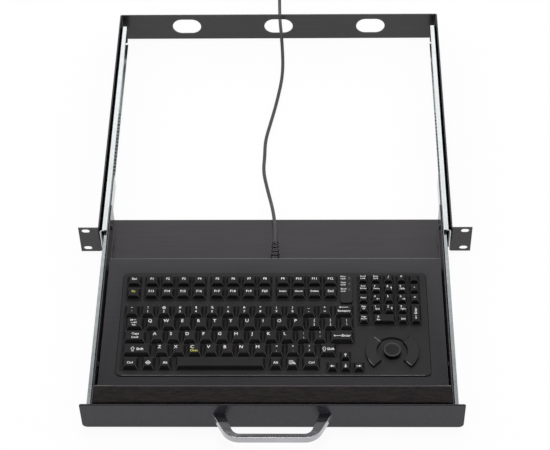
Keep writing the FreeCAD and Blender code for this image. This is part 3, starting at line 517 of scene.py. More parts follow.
# %% Route points in millimetres
CABLE_DIAMETER = 4.5
ROUTE = [
    (0, 3.7, 13.35), (-0.4, 22.05, 13.1), (-1.6, 41.17, 11.6), (-4.2, 61.81, 8.8), (-8.4, 84.37, 5.2),
    (-12.7, 106.16, 3.0), (-17.2, 132.15, 2.5), (-15.8, 158.15, 2.6), (-15.6, 186.06, 2.5),
    (-8.6, 220.08, 2.6), (-3.2, 246.84, 2.5), (1.6, 275.52, 2.6), (5.2, 301.51, 2.7), (6.4, 327.13, 4.4),
    (5.4, 352.36, 9.6), (3.8, 375, 17.2), (2.0, 397, 17.1), (1.2, 419, 10.4), (0.6, 440, 5.2),
    (0.2, 462, 4.2), (0, 483, 6.6),
]
TAIL = [(45.5, 531.2, 7.0), (55, 531.6, 5.4), (65.8, 531, 4.5)]
COIL_MIDDLE = (26, 505)
POINTS_PER_TURN = 14
SPLINE_INSET = 0.975
# radius and height of each turn's middle, in the order the lead is wound
TURNS = [(26.0, 5.6), (26.0, 2.4), (21.3, 2.4), (21.3, 7.0), (26.0, 7.0), (26.0, 11.6), (21.3, 11.6),
         (30.8, 2.4), (30.8, 7.1)]


def around(middle, radius, angle, z):
    """A point in millimetres at a radius and an angle round a middle."""
    return (middle[0] + radius * math.cos(angle), middle[1] + radius * math.sin(angle), z)


def coil_points():
    """Clockwise turns from the coil's left side; each turn steps over to its own place in the bundle."""
    points = []
    total = (len(TURNS) - 2) * POINTS_PER_TURN + POINTS_PER_TURN // 4 + 1
    for index in range(1, total):
        turn, step = divmod(index, POINTS_PER_TURN)
        before, after = TURNS[turn], TURNS[turn + 1]
        share = min(1.0, step / 4)
        share = share * share * (3 - 2 * share)
        radius = before[0] + (after[0] - before[0]) * share
        height = before[1] + (after[1] - before[1]) * share
        if before[0] < 22 and after[0] > 30:
            height += 9.0 * math.sin(math.pi * share)
        angle = math.pi - 2 * math.pi * index / POINTS_PER_TURN
        points.append(around(COIL_MIDDLE, radius / SPLINE_INSET, angle, height))
    return points


cable_points = ROUTE + coil_points() + TAIL
print(len(cable_points), "control points")

# %% One smooth spline, read back as a path
line = bpy.data.curves.new("cable_line", "CURVE")
line.dimensions = "3D"
line.resolution_u = 5
spline = line.splines.new("NURBS")
spline.points.add(len(cable_points) - 1)
for control, point in zip(spline.points, cable_points):
    control.co = (*spot(*point), 1.0)
spline.order_u = 3
spline.use_endpoint_u = True
guide = in_scene("cable_guide", line)
path_mesh = as_mesh(guide)
bpy.data.objects.remove(guide)
bpy.data.curves.remove(line)

# %% A tube along the path
tube_tree, wires = new_tree("tube_along_path", Radius="Float", Sides="Int", Finish="Material")
track = wires["Base"].node("GeometryNodeMeshToCurve", None, {"Mesh": wires["Base"]})
ring = track.node("GeometryNodeCurvePrimitiveCircle", None,
                  {"Resolution": wires["Sides"], "Radius": wires["Radius"]})
tube = track.node("GeometryNodeCurveToMesh", None,
                  {"Curve": track, "Profile Curve": ring, "Fill Caps": True})
close_tree(tube_tree, tube, wires["Finish"])
cable = grown("keyboard_cable_tube", path_mesh, tube_tree, sheath, Radius=CABLE_DIAMETER / 2 * MM, Sides=14,
              Finish=sheath)
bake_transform(cable)
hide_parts("keyboard_cable", "cable_coil")
print(len(cable.data.polygons), "faces on the cable")

# %% [markdown]
# ## Plug and tie
# The lead ends in a moulded plug with a plain steel shell. A strap holds the bundle, as every shipped lead
# has. Its section is a rounded loop round the bundle, swept a few millimetres along the turns; a strip of
# quads with Solidify is enough for that.

# %% Plug
plug_pieces = [softened("plug_moulding", 0.9, sheath, segments=3), softened("plug_shell", 0.3, zinc_plate)]
print("plug of", sum(len(piece.data.polygons) for piece in plug_pieces), "faces")

# %% Strap
TIE_ANGLE = math.radians(-40)
TIE_WIDTH, TIE_THICK = 7.0, 0.5
tie_loop = [(18.6, 3.0), (19.6, 0.7), (22, 0.55), (30, 0.55), (33.0, 0.9), (33.7, 3.5), (33.6, 8),
            (31.5, 11.4), (28.5, 14.0), (25, 14.6), (20.5, 14.4), (18.8, 12.6), (18.5, 8)]
tie_shape = bmesh.new()
rows = []
for side in (-0.5, 0.5):
    ring = [around(COIL_MIDDLE, radius, TIE_ANGLE + side * TIE_WIDTH / radius, height)
            for radius, height in tie_loop]
    rows.append([tie_shape.verts.new(spot(*point)) for point in ring])
band(tie_shape, *rows)
bmesh.ops.recalc_face_normals(tie_shape, faces=tie_shape.faces)
tie_mesh = mesh_of(tie_shape, "coil_tie")
all_smooth(tie_mesh)
tie = linked("coil_tie", tie_mesh, boot_rubber)
with_modifier(tie, "SOLIDIFY", thickness=TIE_THICK * MM, offset=0)
with_modifier(tie, "SUBSURF", levels=2, render_levels=2)
frozen(tie)
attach(tie, "chassis")
spot(0, 3.5, 13.35)
print("tie of", len(tie.data.polygons), "faces")

# %% [markdown]
# ## Painted sheet
# Chassis, tray, cover and front panel keep their solids, softened and painted. On the cover, the bend at the
# rear catches a line of light, so its rounding takes the lighter edge tone as a painted highlight, and the
# edges round the window are painted near black as painted shade. The front panel's rounded edges take a
# darker copy of its paint, painted shade.

# %% Chassis, tray, cover and front panel
REAR_BEND = 1.7 * MM
# the bevels of chassis, tray and cover take the lighter edge tone, a painted highlight
for node, width, paint in (("chassis_frame", 0.35, powder_coat), ("drawer_tray", 0.35, powder_coat),
                           ("keyboard_bezel", 0.8, cover_coat_shaded)):
    piece = softened(node, width, paint, powder_edge_highlight)
    print(node, len(piece.data.polygons), "faces")
cover = piece.data
cover.materials.append(painted_shade_black)
bend_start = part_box("keyboard_bezel")[1][1] - REAR_BEND
window_low, window_high = spot(-183.2, -209, 0), spot(183.2, -54.6, 0)
for face in cover.polygons:
    x, y, _ = face.center
    in_window = abs(x) < window_high.x and window_low.y < y < window_high.y
    # faces in the rear bend take the lighter edge tone, a painted highlight
    if y > bend_start and 0.3 < face.normal.z < 0.98:
        face.material_index = 1
    # faces round the window take near black, painted shade
    elif in_window and face.normal.z < 0.97:
        face.material_index = 2
# the rounded edges take the darker copy of the paint, painted shade
front_panel = softened("front_panel", 0.8, panel_paint, panel_edge_shade, segments=3)
print("front panel", len(front_panel.data.polygons), "faces")

# %% [markdown]
# ## Handle
# A bow of polished chrome, cast with flat faces and a small crisp rounding. In plan it is a trapezium with
# rounded corners, thicker at the feet. The outline is drawn with true arcs, extruded, and its rims bevelled:
# a sweep would give the same section all along, and this bow's section changes.

# %% Outline with rounded corners, extruded
def outline(corners, steps=10):
    """Points round a polygon whose corners (x, y, radius) are rounded by arcs."""
    points = []
    for index, (x, y, radius) in enumerate(corners):
        corner = Vector((x, y))
        if radius == 0:
            points.append(corner)
            continue
        before = (Vector(corners[index - 1][:2]) - corner).normalized()
        after = (Vector(corners[(index + 1) % len(corners)][:2]) - corner).normalized()
        half = before.angle(after) / 2
        middle = corner + (before + after).normalized() * (radius / math.sin(half))
        first = corner + before * (radius / math.tan(half)) - middle
        last = corner + after * (radius / math.tan(half)) - middle
        sweep = first.angle_signed(last)
        for step in range(steps + 1):
            points.append(middle + Matrix.Rotation(-sweep * step / steps, 2) @ first)
    return points


def extruded(name, ring, step):
    """A solid from a ring of points in metres, drawn out by a step."""
    shape = bmesh.new()
    face = shape.faces.new([shape.verts.new(point) for point in ring])
    raised = bmesh.ops.extrude_face_region(shape, geom=[face])["geom"]
    far_end = [part for part in raised if isinstance(part, bmesh.types.BMVert)]
    bmesh.ops.translate(shape, vec=step, verts=far_end)
    bmesh.ops.recalc_face_normals(shape, faces=shape.faces)
    return mesh_of(shape, name)


bow = outline([(-67.5, -262, 0), (-50, -294.2, 22), (50, -294.2, 22), (67.5, -262, 0),
               (53.5, -262, 0), (43, -288.4, 10), (-43, -288.4, 10), (-53.5, -262, 0)])
bow_mesh = extruded("pull_handle_bow", [spot(x, y, 16.85) for x, y in bow], Vector((0, 0, 10)) * MM)
handle = linked("pull_handle_bow", bow_mesh, chrome)
rounded_edges(handle, 0.5, segments=3, above=40)
stands_for(handle, "pull_handle")
print("handle", len(handle.data.polygons), "faces")

# %% [markdown]
# ## Slides
# Two bright zinc channels run inside each other on balls in a perforated cage. The outer channel is rolled:
# a wide bend at the wall, a small one at the lip. Its section is drawn once with true arcs and drawn out
# along the slide, and Weighted Normal keeps the flats flat beside the bends. The balls are round again, and
# there are three for each one of the solid: a tree sets one small sphere on every place in the race.

# %% Channels with rolled bends
RAIL_MIDDLE = 21.85
SHEET = 0.95


def channel(node, sign, corners, start, length, plate, shaded_ways):
    """A zinc channel from its section of (x, z, radius) corners, with painted shade on bends that face one of
    the ways.
    """
    section = outline([(sign * x, RAIL_MIDDLE + z, radius) for x, z, radius in corners], 6)
    ring = [spot(x, start, z) for x, z in section]
    mesh = extruded(f"{node}_rolled", ring, Vector((0, length, 0)) * MM)
    for face in mesh.polygons:
        face.use_smooth = True
        # bends that face one of the ways take the dark zinc, painted shade
        face.material_index = int(any(0.15 < face.normal.x * sign * way < 0.98 for way in shaded_ways))
    mesh.set_sharp_from_angle(angle=math.radians(40))
    rail = linked(f"{node}_rolled", mesh, plate, zinc_painted_shade)
    with_modifier(rail, "WEIGHTED_NORMAL", keep_sharp=True)
    return stands_for(frozen(rail), node)


outer_section = [
    (206.7, 15.7, 0), (206.7, 17.5, 1.5), (215.5, 17.5, 4.4), (215.5, -17.5, 4.4), (207.9, -17.5, 0.8),
    (207.9, -15.9, 0), (207.9 + SHEET, -15.9, 0), (207.9 + SHEET, SHEET - 17.5, 0.3),
    (215.5 - SHEET, SHEET - 17.5, 3.4), (215.5 - SHEET, 17.5 - SHEET, 3.4),
    (206.7 + SHEET, 17.5 - SHEET, 0.5), (206.7 + SHEET, 15.7, 0)]
inner_section = [
    (205, 12.4, 1.9), (210.4, 12.4, 0.6), (210.4, 12.4 - SHEET, 0.1), (205 + SHEET, 12.4 - SHEET, 0.9),
    (205 + SHEET, SHEET - 12.4, 0.9), (210.4, SHEET - 12.4, 0.3), (210.4, -12.4, 0.3), (205, -12.4, 1.9)]
for side, sign in (("left", -1), ("right", 1)):
    outer = channel(f"{side}_outer_rail", sign, outer_section, 1, 366, zinc_plate, (1,))
    inner = channel(f"{side}_inner_rail", sign, inner_section, -259.7, 359, zinc_darker, (1, -1))
    print(side, "channels", len(outer.data.polygons), "and", len(inner.data.polygons), "faces")

# %% Where the balls sit
def lumps(node):
    """The boxes of a solid's separate lumps, back row first, then left to right.
    A lump grows, neighbour by neighbour, while the loop runs along it."""
    shape = merged(node)
    waiting = set(shape.verts)
    boxes = []
    while waiting:
        lump = [waiting.pop()]
        for vertex in lump:
            near = {edge.other_vert(vertex) for edge in vertex.link_edges} & waiting
            waiting -= near
            lump += near
        boxes.append([Vector(pick(v.co[axis] for v in lump) for axis in range(3)) for pick in (min, max)])
    shape.free()
    return sorted(boxes, key=lambda box: (-round(box[0].y + box[1].y, 4), box[0].x))


def middles(node):
    return [(low + high) / 2 for low, high in lumps(node)]


races = {}
for place in middles("bearing_balls"):
    races.setdefault((round(place.x, 4), round(place.z, 4)), []).append(place)
ball_places = []
for race in races.values():
    third = (race[-1] - race[0]) / (len(race) - 1) / 3
    ball_places += [race[0] + third * index for index in range(-1, 3 * len(race) - 2)]
BALL_PITCH = third.length
print(len(ball_places), "balls,", f"{BALL_PITCH / MM:.1f} mm apart")

# %% Cages, stops and screws
def cage_colour(place):
    """Zinc with a dark mark half way between the balls."""
    y = axis_of(place, "Y")
    phase = y.math("FRACT", (y - ball_places[0].y) * (1 / BALL_PITCH) + 50)
    mark = 1 - y.math("ABSOLUTE", phase - 0.5).clamped(0.05, 0.16)
    return colour_mix(mark * 0.85, zinc_colour(place), tone(60, 60, 62))


cage_zinc = metal("cage_zinc_dark_marks", cage_colour, zinc_rough)
for side in ("left", "right"):
    softened(f"{side}_ball_cage", 0.15, cage_zinc)
softened("rail_bumpers", 0.6, boot_rubber, segments=3)
softened("inner_rail_screws", 0.25, powder_coat)
for node in ("outer_rail_screws", "handle_screws", "board_standoffs"):
    softened(node, 0.25, zinc_plate)
print(len(lumps("outer_rail_screws")), "outer screws")

# %% Balls in their races
def on_points(points, shape, **more):
    """A copy of a shape on every point."""
    return shape.node("GeometryNodeInstanceOnPoints", None, {"Points": points, "Instance": shape, **more})


def points_mesh(name, places):
    """A mesh of loose points."""
    mesh = bpy.data.meshes.new(name)
    mesh.from_pydata([tuple(place) for place in places], [], [])
    return mesh


ball_tree, wires = new_tree("balls_on_points", Radius="Float")
ball = wires["Base"].node("GeometryNodeMeshUVSphere", None,
                          {"Segments": 12, "Rings": 7, "Radius": wires["Radius"]})
close_tree(ball_tree, on_points(wires["Base"], ball), dark_ball_steel)
ball_low, ball_high = lumps("bearing_balls")[0]
balls = grown("bearing_balls_round", points_mesh("ball_spots", ball_places), ball_tree, dark_ball_steel,
              Radius=(ball_high.z - ball_low.z) / 2)
stands_for(balls, "bearing_balls")
print(len(balls.data.polygons), "faces on the balls")

# %% [markdown]
# ## Strain relief
# The black boot is a row of shrinking ribs on a thin core, joined by pairs of webs that change sides from rib
# to rib, so that it bends both ways. One rib with its webs is modelled, and a tree sets it along the axis,
# smaller each time and a quarter turn on.

# %% One rib with two webs
def lathe(name, profile, sides):
    """A closed solid of revolution about Y from (radius, y) pairs, with its ends on the axis."""
    shape = bmesh.new()
    ends = [shape.verts.new((0, profile[0][1], 0)), shape.verts.new((0, profile[-1][1], 0))]
    circle = [2 * math.pi * i / sides for i in range(sides)]
    rings = [[shape.verts.new((radius * math.cos(turn), y, radius * math.sin(turn))) for turn in circle]
             for radius, y in profile]
    for lower, upper in zip(rings, rings[1:]):
        band(shape, upper, lower)
    for i in range(sides):
        j = (i + 1) % sides
        shape.faces.new((ends[0], rings[0][i], rings[0][j]))
        shape.faces.new((ends[1], rings[-1][j], rings[-1][i]))
    bmesh.ops.recalc_face_normals(shape, faces=shape.faces)
    return mesh_of(shape, name)


BOOT_RIBS = 11
FIRST_RADIUS, TAPER, LARGEST_RADIUS = 6.5, 2.2, 6.0
WEB_SIZE, WEB_OUT, WEB_ALONG = (0.42, 0.64, 0.9), 0.70, 0.76
boot_start = spot(0, -31, 13.35)
rib_pitch = (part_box("strain_relief")[1][1] - boot_start.y) / BOOT_RIBS
rib_mesh = lathe("boot_rib", [(0.82, 0.0), (1.0, 0.12), (1.0, 0.36), (0.82, 0.48)], 20)
web = bmesh.new()
web.from_mesh(rib_mesh)
for sign in (-1, 1):
    block = bmesh.ops.create_cube(web, size=1.0)["verts"]
    bmesh.ops.scale(web, vec=WEB_SIZE, verts=block)
    bmesh.ops.translate(web, vec=(sign * WEB_OUT, WEB_ALONG, 0), verts=block)
web.to_mesh(rib_mesh)
web.free()
rib = linked("boot_rib_pattern", rib_mesh, boot_rubber)
print("rib of", len(rib_mesh.polygons), "faces")

# %% A tree that sets ribs on points
def carried(wire, name):
    """A named vector that the points of a tree's base carry."""
    return wire.node("GeometryNodeInputNamedAttribute", {"data_type": "FLOAT_VECTOR"}, {"Name": name})


boot_tree, wires = new_tree("ribs_along_boot", Rib="Object")
pattern = wires["Base"].node("GeometryNodeObjectInfo", None, {"Object": wires["Rib"]}, output="Geometry")
row = on_points(wires["Base"], pattern, Rotation=carried(pattern, "turn"), Scale=carried(pattern, "size"))
close_tree(boot_tree, row, boot_rubber)
print("tree of", len(boot_tree.nodes), "nodes")

# %% Ribs along the axis
def spots_with(name, places, **vectors):
    """Loose points that carry named vectors for a tree to read."""
    mesh = points_mesh(name, places)
    for label, values in vectors.items():
        store = mesh.attributes.new(label, "FLOAT_VECTOR", "POINT")
        store.data.foreach_set("vector", [number for value in values for number in value])
    return mesh


ribs = range(BOOT_RIBS)
radii = [min(LARGEST_RADIUS, FIRST_RADIUS - TAPER * i / BOOT_RIBS) * MM for i in ribs]
boot_spots = spots_with("boot_spots", [boot_start + Vector((0, rib_pitch * i, 0)) for i in ribs],
                        size=[(r, rib_pitch, r) for r in radii],
                        turn=[(0, math.pi / 2 * (i % 2), 0) for i in ribs])
boot = grown("strain_relief_ribs", boot_spots, boot_tree, boot_rubber, Rib=rib)
core = lathe("boot_core", [(2.4, -4.0), (6.0, -3.9), (6.0, -1.3), (4.6, -1.2), (4.6, 0), (3.0, 0.1),
                           (2.7, 34.3), (2.4, 34.5)], 20)
both = bmesh.new()
both.from_mesh(boot.data)
core.transform(Matrix.Translation(boot_start) @ Matrix.Scale(MM, 4))
both.from_mesh(core)
both.to_mesh(boot.data)
both.free()
# the bevelled rims of the ribs take the pale tone, a painted highlight
boot.data.materials.append(highlight_rubber)
rounded_edges(boot, 0.18, segments=2, above=30)
bpy.data.objects.remove(rib)
stands_for(boot, "strain_relief")
print(f"boot of {len(boot.data.polygons)} faces, ribs {rib_pitch / MM:.2f} mm apart")

# %% [markdown]
# ## Keypad mat and indicator block
# The keys stand in one sheet of silicone, let into the cover's window. The mat keeps its solid with rounded
# rims at the openings, and the block beside the function keys carries three small lenses.

# %% Mat, block, lenses, board
lens_clear = new_finish("indicator_lens", {"Specular IOR Level": 0.6, "Coat Weight": 0.5},
                        mottled(700, tone(24, 25, 23), tone(36, 37, 34)), uneven(900, 0.15, 0.1))


def laminate_colour(place):
    tracks = place.node("ShaderNodeTexBrick", {"offset": 0.5},
                        {"Vector": place, "Color1": (0.02, 0.11, 0.05, 1), "Color2": (0.025, 0.15, 0.065, 1),
                         "Mortar": (0.05, 0.22, 0.10, 1), "Scale": 60.0, "Mortar Size": 0.03})
    return colour_mix(grain(place, 50), tracks, (0.02, 0.12, 0.05, 1))


laminate = new_finish("board_laminate", {"Specular IOR Level": 0.5}, laminate_colour, uneven(200, 0.2, 0.3))
softened("keypad_mat", 0.3, mat_silicone)
block = softened("indicator_block", 0.7, mat_silicone, segments=3)
block.data.materials.append(painted_shade_black)
# the block's sides are painted near black, painted shade
for face in block.data.polygons:
    face.material_index = int(face.normal.z < 0.35)
softened("indicator_lenses", 0.35, lens_clear)
softened("switch_board", 0.15, laminate)
solids["pointer_stem"].data.materials.clear()
solids["pointer_stem"].data.materials.append(pointer_plastic)
print("mat and board done")

# %% [markdown]
# ## Key caps
# Over a hundred silicone keys share one shape: a thin web at mat level, four sloping sides with rounded
# corners, and a soft shoulder to a flat top. Only their sizes differ. Scaling one cap would stretch its
# corners, so the tree works like a nine-part picture frame: every corner of the template knows its side, and
# each key pushes its sides outwards by its own extra size. The part above the web is then drawn in by a
# trim, which the top follows less than the foot in front, so those fronts stand steeper.

# %% Cap template
def cap_pattern(name, half, inset, foot, rise):
    """A square key round the origin with its mat level at z 0; sizes in millimetres."""
    wall, web = [(0.0, -foot, 1.0), (0.0, 0.1, 1.0)], [(0.0, 0.1, 1.0), (0.02, 0.1, 1.0)]
    body = [(0.02, 0.1, 1.0), (inset * 0.90, rise * 0.90, 0.85), (inset + 0.06, rise - 0.16, 0.8),
            (inset + 0.45, rise, 0.7), (inset + 1.3, rise, 0.6)]
    shape = bmesh.new()
    edge = shape.verts.layers.float.new("edge")
    follow = shape.verts.layers.float_vector.new("follow")
    loops = []
    for part in (wall, web, body):
        for index, (ring_inset, z, radius) in enumerate(part):
            reach = half - ring_inset - radius
            loop = []
            for quarter in range(4):
                corner = math.radians(45 + 90 * quarter)
                sx, sy = math.copysign(1, math.cos(corner)), math.copysign(1, math.sin(corner))
                for step in (0, 45, 90):
                    angle = math.radians(90 * quarter + step)
                    loop.append(shape.verts.new(((sx * reach + radius * math.cos(angle)) * MM,
                                                 (sy * reach + radius * math.sin(angle)) * MM, z * MM)))
                    # the middle point of each corner on the sloping sides is marked, so a light painted
                    # highlight line runs down each corner
                    loop[-1][edge] = float(part is body and step == 45 and z < rise)
                    loop[-1][follow] = (ring_inset > 0, (ring_inset > 0) * (0.35 if z > 1 else 1.0), 0)
            loops.append(loop)
            if index:
                band(shape, loops[-2], loop)
    shape.faces.new(loops[-1])
    shape.faces.new(list(reversed(loops[0])))
    mesh = mesh_of(shape, name)
    side = mesh.attributes.new("side", "FLOAT_VECTOR", "POINT")
    side.data.foreach_set("vector", [part for v in mesh.vertices
                                     for part in (math.copysign(1, v.co.x), math.copysign(1, v.co.y), 0)])
    return linked(name, mesh, silicone)


print("cap template ready")

# %% Two caps, for the main block and for the small keys
MAT_TOP = 25.2
KEY_RISE = 5.8
main_low, main_high = lumps("number_keys")[0]
small_low, small_high = lumps("arrow_keys")[0]
key_foot = MAT_TOP - main_low.z / MM
main_half = (main_high.x - main_low.x) / MM / 2
small_half = (small_high.x - small_low.x) / MM / 2
main_cap = cap_pattern("main_cap", main_half, 2.35, key_foot, KEY_RISE)
small_cap = cap_pattern("small_cap", small_half, 1.9, key_foot, KEY_RISE)
print(f"caps {2 * main_half:.2f} and {2 * small_half:.2f} mm, foot {key_foot:.2f} mm,",
      len(main_cap.data.polygons), "faces each")

# %% A tree that fits a cap to its key
caps_tree, wires = new_tree("caps_on_key_places", Cap="Object")
cap = wires["Base"].node("GeometryNodeObjectInfo", None, {"Object": wires["Cap"]}, output="Geometry")
real = cap.node("GeometryNodeRealizeInstances", None, {0: on_points(wires["Base"], cap)})
side, extra, trim, shift, follow = (
    carried(real, name) for name in ("side", "extra", "trim", "shift", "follow"))
drawn_in, moved = (real.node("ShaderNodeVectorMath", {"operation": "MULTIPLY"}, {0: vector, 1: follow})
                   for vector in (trim, shift))
reach = real.node("ShaderNodeVectorMath", {"operation": "SUBTRACT"}, {0: extra, 1: drawn_in})
push = real.node("ShaderNodeVectorMath", {"operation": "MULTIPLY_ADD"}, {0: reach, 1: side, 2: moved})
wider = real.node("GeometryNodeSetPosition", None, {"Geometry": real, "Offset": push})
close_tree(caps_tree, wider, silicone)
print("tree of", len(caps_tree.nodes), "nodes")

# %% Caps on the places of the solids
KEY_GROUPS = [node for node in body_of_solid if node.endswith(("_keys", "_key", "space_bar"))]
# millimetres by which a cap draws in above its web, at the left, the right and the front
USUAL_TRIM = (0.7, 0.5, 0)
LEFT_RIGHT_FRONT = {
    "upper_function_keys": (0.6, 0.4, 3.2), "lower_function_keys": (0.6, 0.4, 3.4),
    "backspace_key": (1.6, 0.6, 0), "tab_key": (2.6, 0.6, 0), "caps_lock_key": (1.6, 3.2, 0),
    "enter_key": (1.4, 0.6, 0), "left_shift_key": (1.4, 2.6, 0), "right_shift_key": (2.0, 1.6, 0),
    "space_bar": (3.4, 1.2, 0.8), "left_modifier_keys": (2.4, 0.4, 0.6),
    "right_modifier_keys": (2.2, 0.4, 0.6), "arrow_keys": (1.4, 0.4, 1.2), "numpad_keys": (1.4, 0.6, 2.2),
    "numpad_zero_key": (2.8, 0.2, 2.2), "numpad_enter_key": (1.2, 0.3, 2.2)}
key_tops = {}
for group in KEY_GROUPS:
    small = group.startswith(("arrow", "numpad"))
    half = small_half if small else main_half
    boxes = lumps(group)
    spots = [((low.x + high.x) / 2, (low.y + high.y) / 2, MAT_TOP * MM) for low, high in boxes]
    extras = [((high.x - low.x) / 2 - half * MM, (high.y - low.y) / 2 - half * MM, 0) for low, high in boxes]
    left, right, front = (part * MM for part in LEFT_RIGHT_FRONT.get(group, USUAL_TRIM))
    trims = [((left + right) / 2, front / 2, 0)] * len(spots)
    shifts = [((left - right) / 2, front / 2, 0)] * len(spots)
    base = spots_with(f"{group}_spots", spots, extra=extras, trim=trims, shift=shifts)
    caps = grown(f"{group}_caps", base, caps_tree, silicone, Cap=small_cap if small else main_cap)
    stands_for(caps, group)
    key_tops[group] = [(x + (left - right) / 2, y) for x, y, _ in spots]
for template in (main_cap, small_cap):
    bpy.data.objects.remove(template)

# %% [markdown]
# ## Legends
# White lettering sits in the key tops. Words are set in Blender's own font, made into a thin mesh and sunk
# half into the silicone; arrows and frames are drawn with a flat pen. Every mark belongs to one key, so the
# marks of one key group become one mesh that rides with it.

# %% A small type case
WHITE, YELLOW = 0, 1
INK_LOW, INK_HIGH = -0.03, 0.05
TYPE_HALF = 0.02
type_case = {}


def set_word(text):
    """A word at size 1 as a mesh, made once for each text."""
    if text not in type_case:
        data = bpy.data.curves.new("type", "FONT")
        data.body = text
        data.align_x = data.align_y = "CENTER"
        data.resolution_u = 2
        data.extrude = TYPE_HALF
        data.offset = 0.004 if len(text) == 1 else 0.01
        block = in_scene("type", data)
        type_case[text] = as_mesh(block)
        bpy.data.objects.remove(block)
        bpy.data.curves.remove(data)
    return type_case[text]


heights = [vertex.co.y for vertex in set_word("H").vertices]
CAP_AT_SIZE_ONE = max(heights) - min(heights)
print(f"capitals are {CAP_AT_SIZE_ONE:.3f} of the type size")

# %% Marks that print themselves: words and pen strokes
def word(text, x=0.0, y=0.0, cap=2.8, ink=WHITE, turn=0.0):
    """A word centred x, y millimetres from the middle of a key, with capitals cap millimetres high."""
    size = cap / CAP_AT_SIZE_ONE * MM
    thick = (INK_HIGH - INK_LOW) / (2 * TYPE_HALF) * MM

    def stamp(shape, place):
        sheet = set_word(text).copy()
        middle = place + Vector((x, y, (INK_LOW + INK_HIGH) / 2)) * MM
        sheet.transform(Matrix.Translation(middle) @ Matrix.Rotation(turn, 4, "Z")
                        @ Matrix.Diagonal((size, size, thick, 1)))
        sheet.polygons.foreach_set("material_index", [ink] * len(sheet.polygons))
        shape.from_mesh(sheet)
        bpy.data.meshes.remove(sheet)

    return stamp


def pen(*points, width=0.45):
    """A flat white pen stroke through points in millimetres from the middle of a key."""
    def stamp(shape, place):
        for start, end in zip(points, points[1:]):
            start, end = Vector(start), Vector(end)
            along = (end - start).normalized() * width / 2
            across = Vector((-along.y, along.x))
            ring = [start - along - across, end + along - across,
                    end + along + across, start - along + across]
            low, high = ([shape.verts.new(place + Vector((*point, z)) * MM) for point in ring]
                         for z in (INK_LOW, INK_HIGH))
            for face in [shape.faces.new(high), shape.faces.new(low[::-1]), *band(shape, low, high)]:
                face.material_index = WHITE

    return stamp


def printed(name, marks):
    """One mesh of marks, each with its place in metres."""
    shape = bmesh.new()
    for place, mark in marks:
        mark(shape, place)
    return linked(name, mesh_of(shape, name), white_ink, yellow_ink)


print("printing ready")

# %% Arrows and words from the left
def arrow(tail, tip, head=1.1, width=0.45):
    """A straight arrow from tail to tip."""
    along = (Vector(tip) - Vector(tail)).normalized()
    across = Vector((-along.y, along.x))
    wings = [Vector(tip) - along * head + across * head * sign * 0.55 for sign in (1, -1)]
    return [pen(tail, tip, width=width), pen(wings[0], tip, wings[1], width=width * 1.5)]


def shift_arrow(x, y):
    """A hollow arrow that points up, with a bar under it."""
    corners = [(0, 3.2), (2.3, 0.6), (1.2, 0.6), (1.2, -1.8),
               (-1.2, -1.8), (-1.2, 0.6), (-2.3, 0.6), (0, 3.2)]
    return [pen(*[(x + px, y + py) for px, py in corners]), pen((x - 1.2, y - 3.0), (x + 1.2, y - 3.0))]


def from_left(text, left, y, cap):
    """A word that starts at left instead of being centred."""
    ends = [vertex.co.x for vertex in set_word(text).vertices]
    return word(text, left + (max(ends) - min(ends)) / 2 * cap / CAP_AT_SIZE_ONE, y, cap)


print("arrows ready")

# %% Where the words of a key stand
def function_key(text, ink=WHITE):
    return [word(text, 0, 1.0, 3.2 if len(text) < 4 else 2.5, ink)]


def letters(texts):
    return [[word(text, -3.0, 1.6, 4.2)] for text in texts]


def pairs(*texts):
    return [[word(upper, 0, 2.5, 3.1), word(lower, 0, -3.4, 3.1)] for upper, lower in texts]


def two_lines(upper, lower, cap=2.0, y=0.3):
    return [word(upper, 0, y + cap * 0.8, cap), word(lower, 0, y - cap * 0.8, cap)]


def left_lines(upper, lower, left, y, cap, gap):
    return [from_left(upper, left, y + gap / 2, cap), from_left(lower, left, y - gap / 2, cap)]


def pad_digit(digit, *below):
    return [word(digit, -1.6, 1.7, 2.9), *below]


TAB_MARK = [*arrow((1.8, 3.2), (-3.8, 3.2), 1.2), pen((-4.6, 2.0), (-4.6, 4.4)),
            *arrow((-4.2, -0.6), (1.4, -0.6), 1.2), pen((2.2, -1.8), (2.2, 0.6)),
            word("Tab", -0.6, -4.2, 2.2)]
SYSTEM_MARK = [pen((0, 0.9), (3.0, -1.7), (0, -4.3), (-3.0, -1.7), (0, 0.9), width=0.7),
               pen((-0.8, -1.7), (0.8, -1.7), width=0.9)]
MENU_MARK = [pen((-3.4, 0.9), (0.8, 0.9), (0.8, -3.7), (-3.4, -3.7), (-3.4, 0.9)),
             *[pen((-2.4, y), (-0.2, y)) for y in (-0.4, -1.5, -2.6)],
             pen((1.2, -0.8), (3.4, -3.6), width=0.9), pen((1.2, -0.8), (1.4, -3.2), width=0.7)]
print("marks of", len(TAB_MARK), len(SYSTEM_MARK), "and", len(MENU_MARK), "parts")

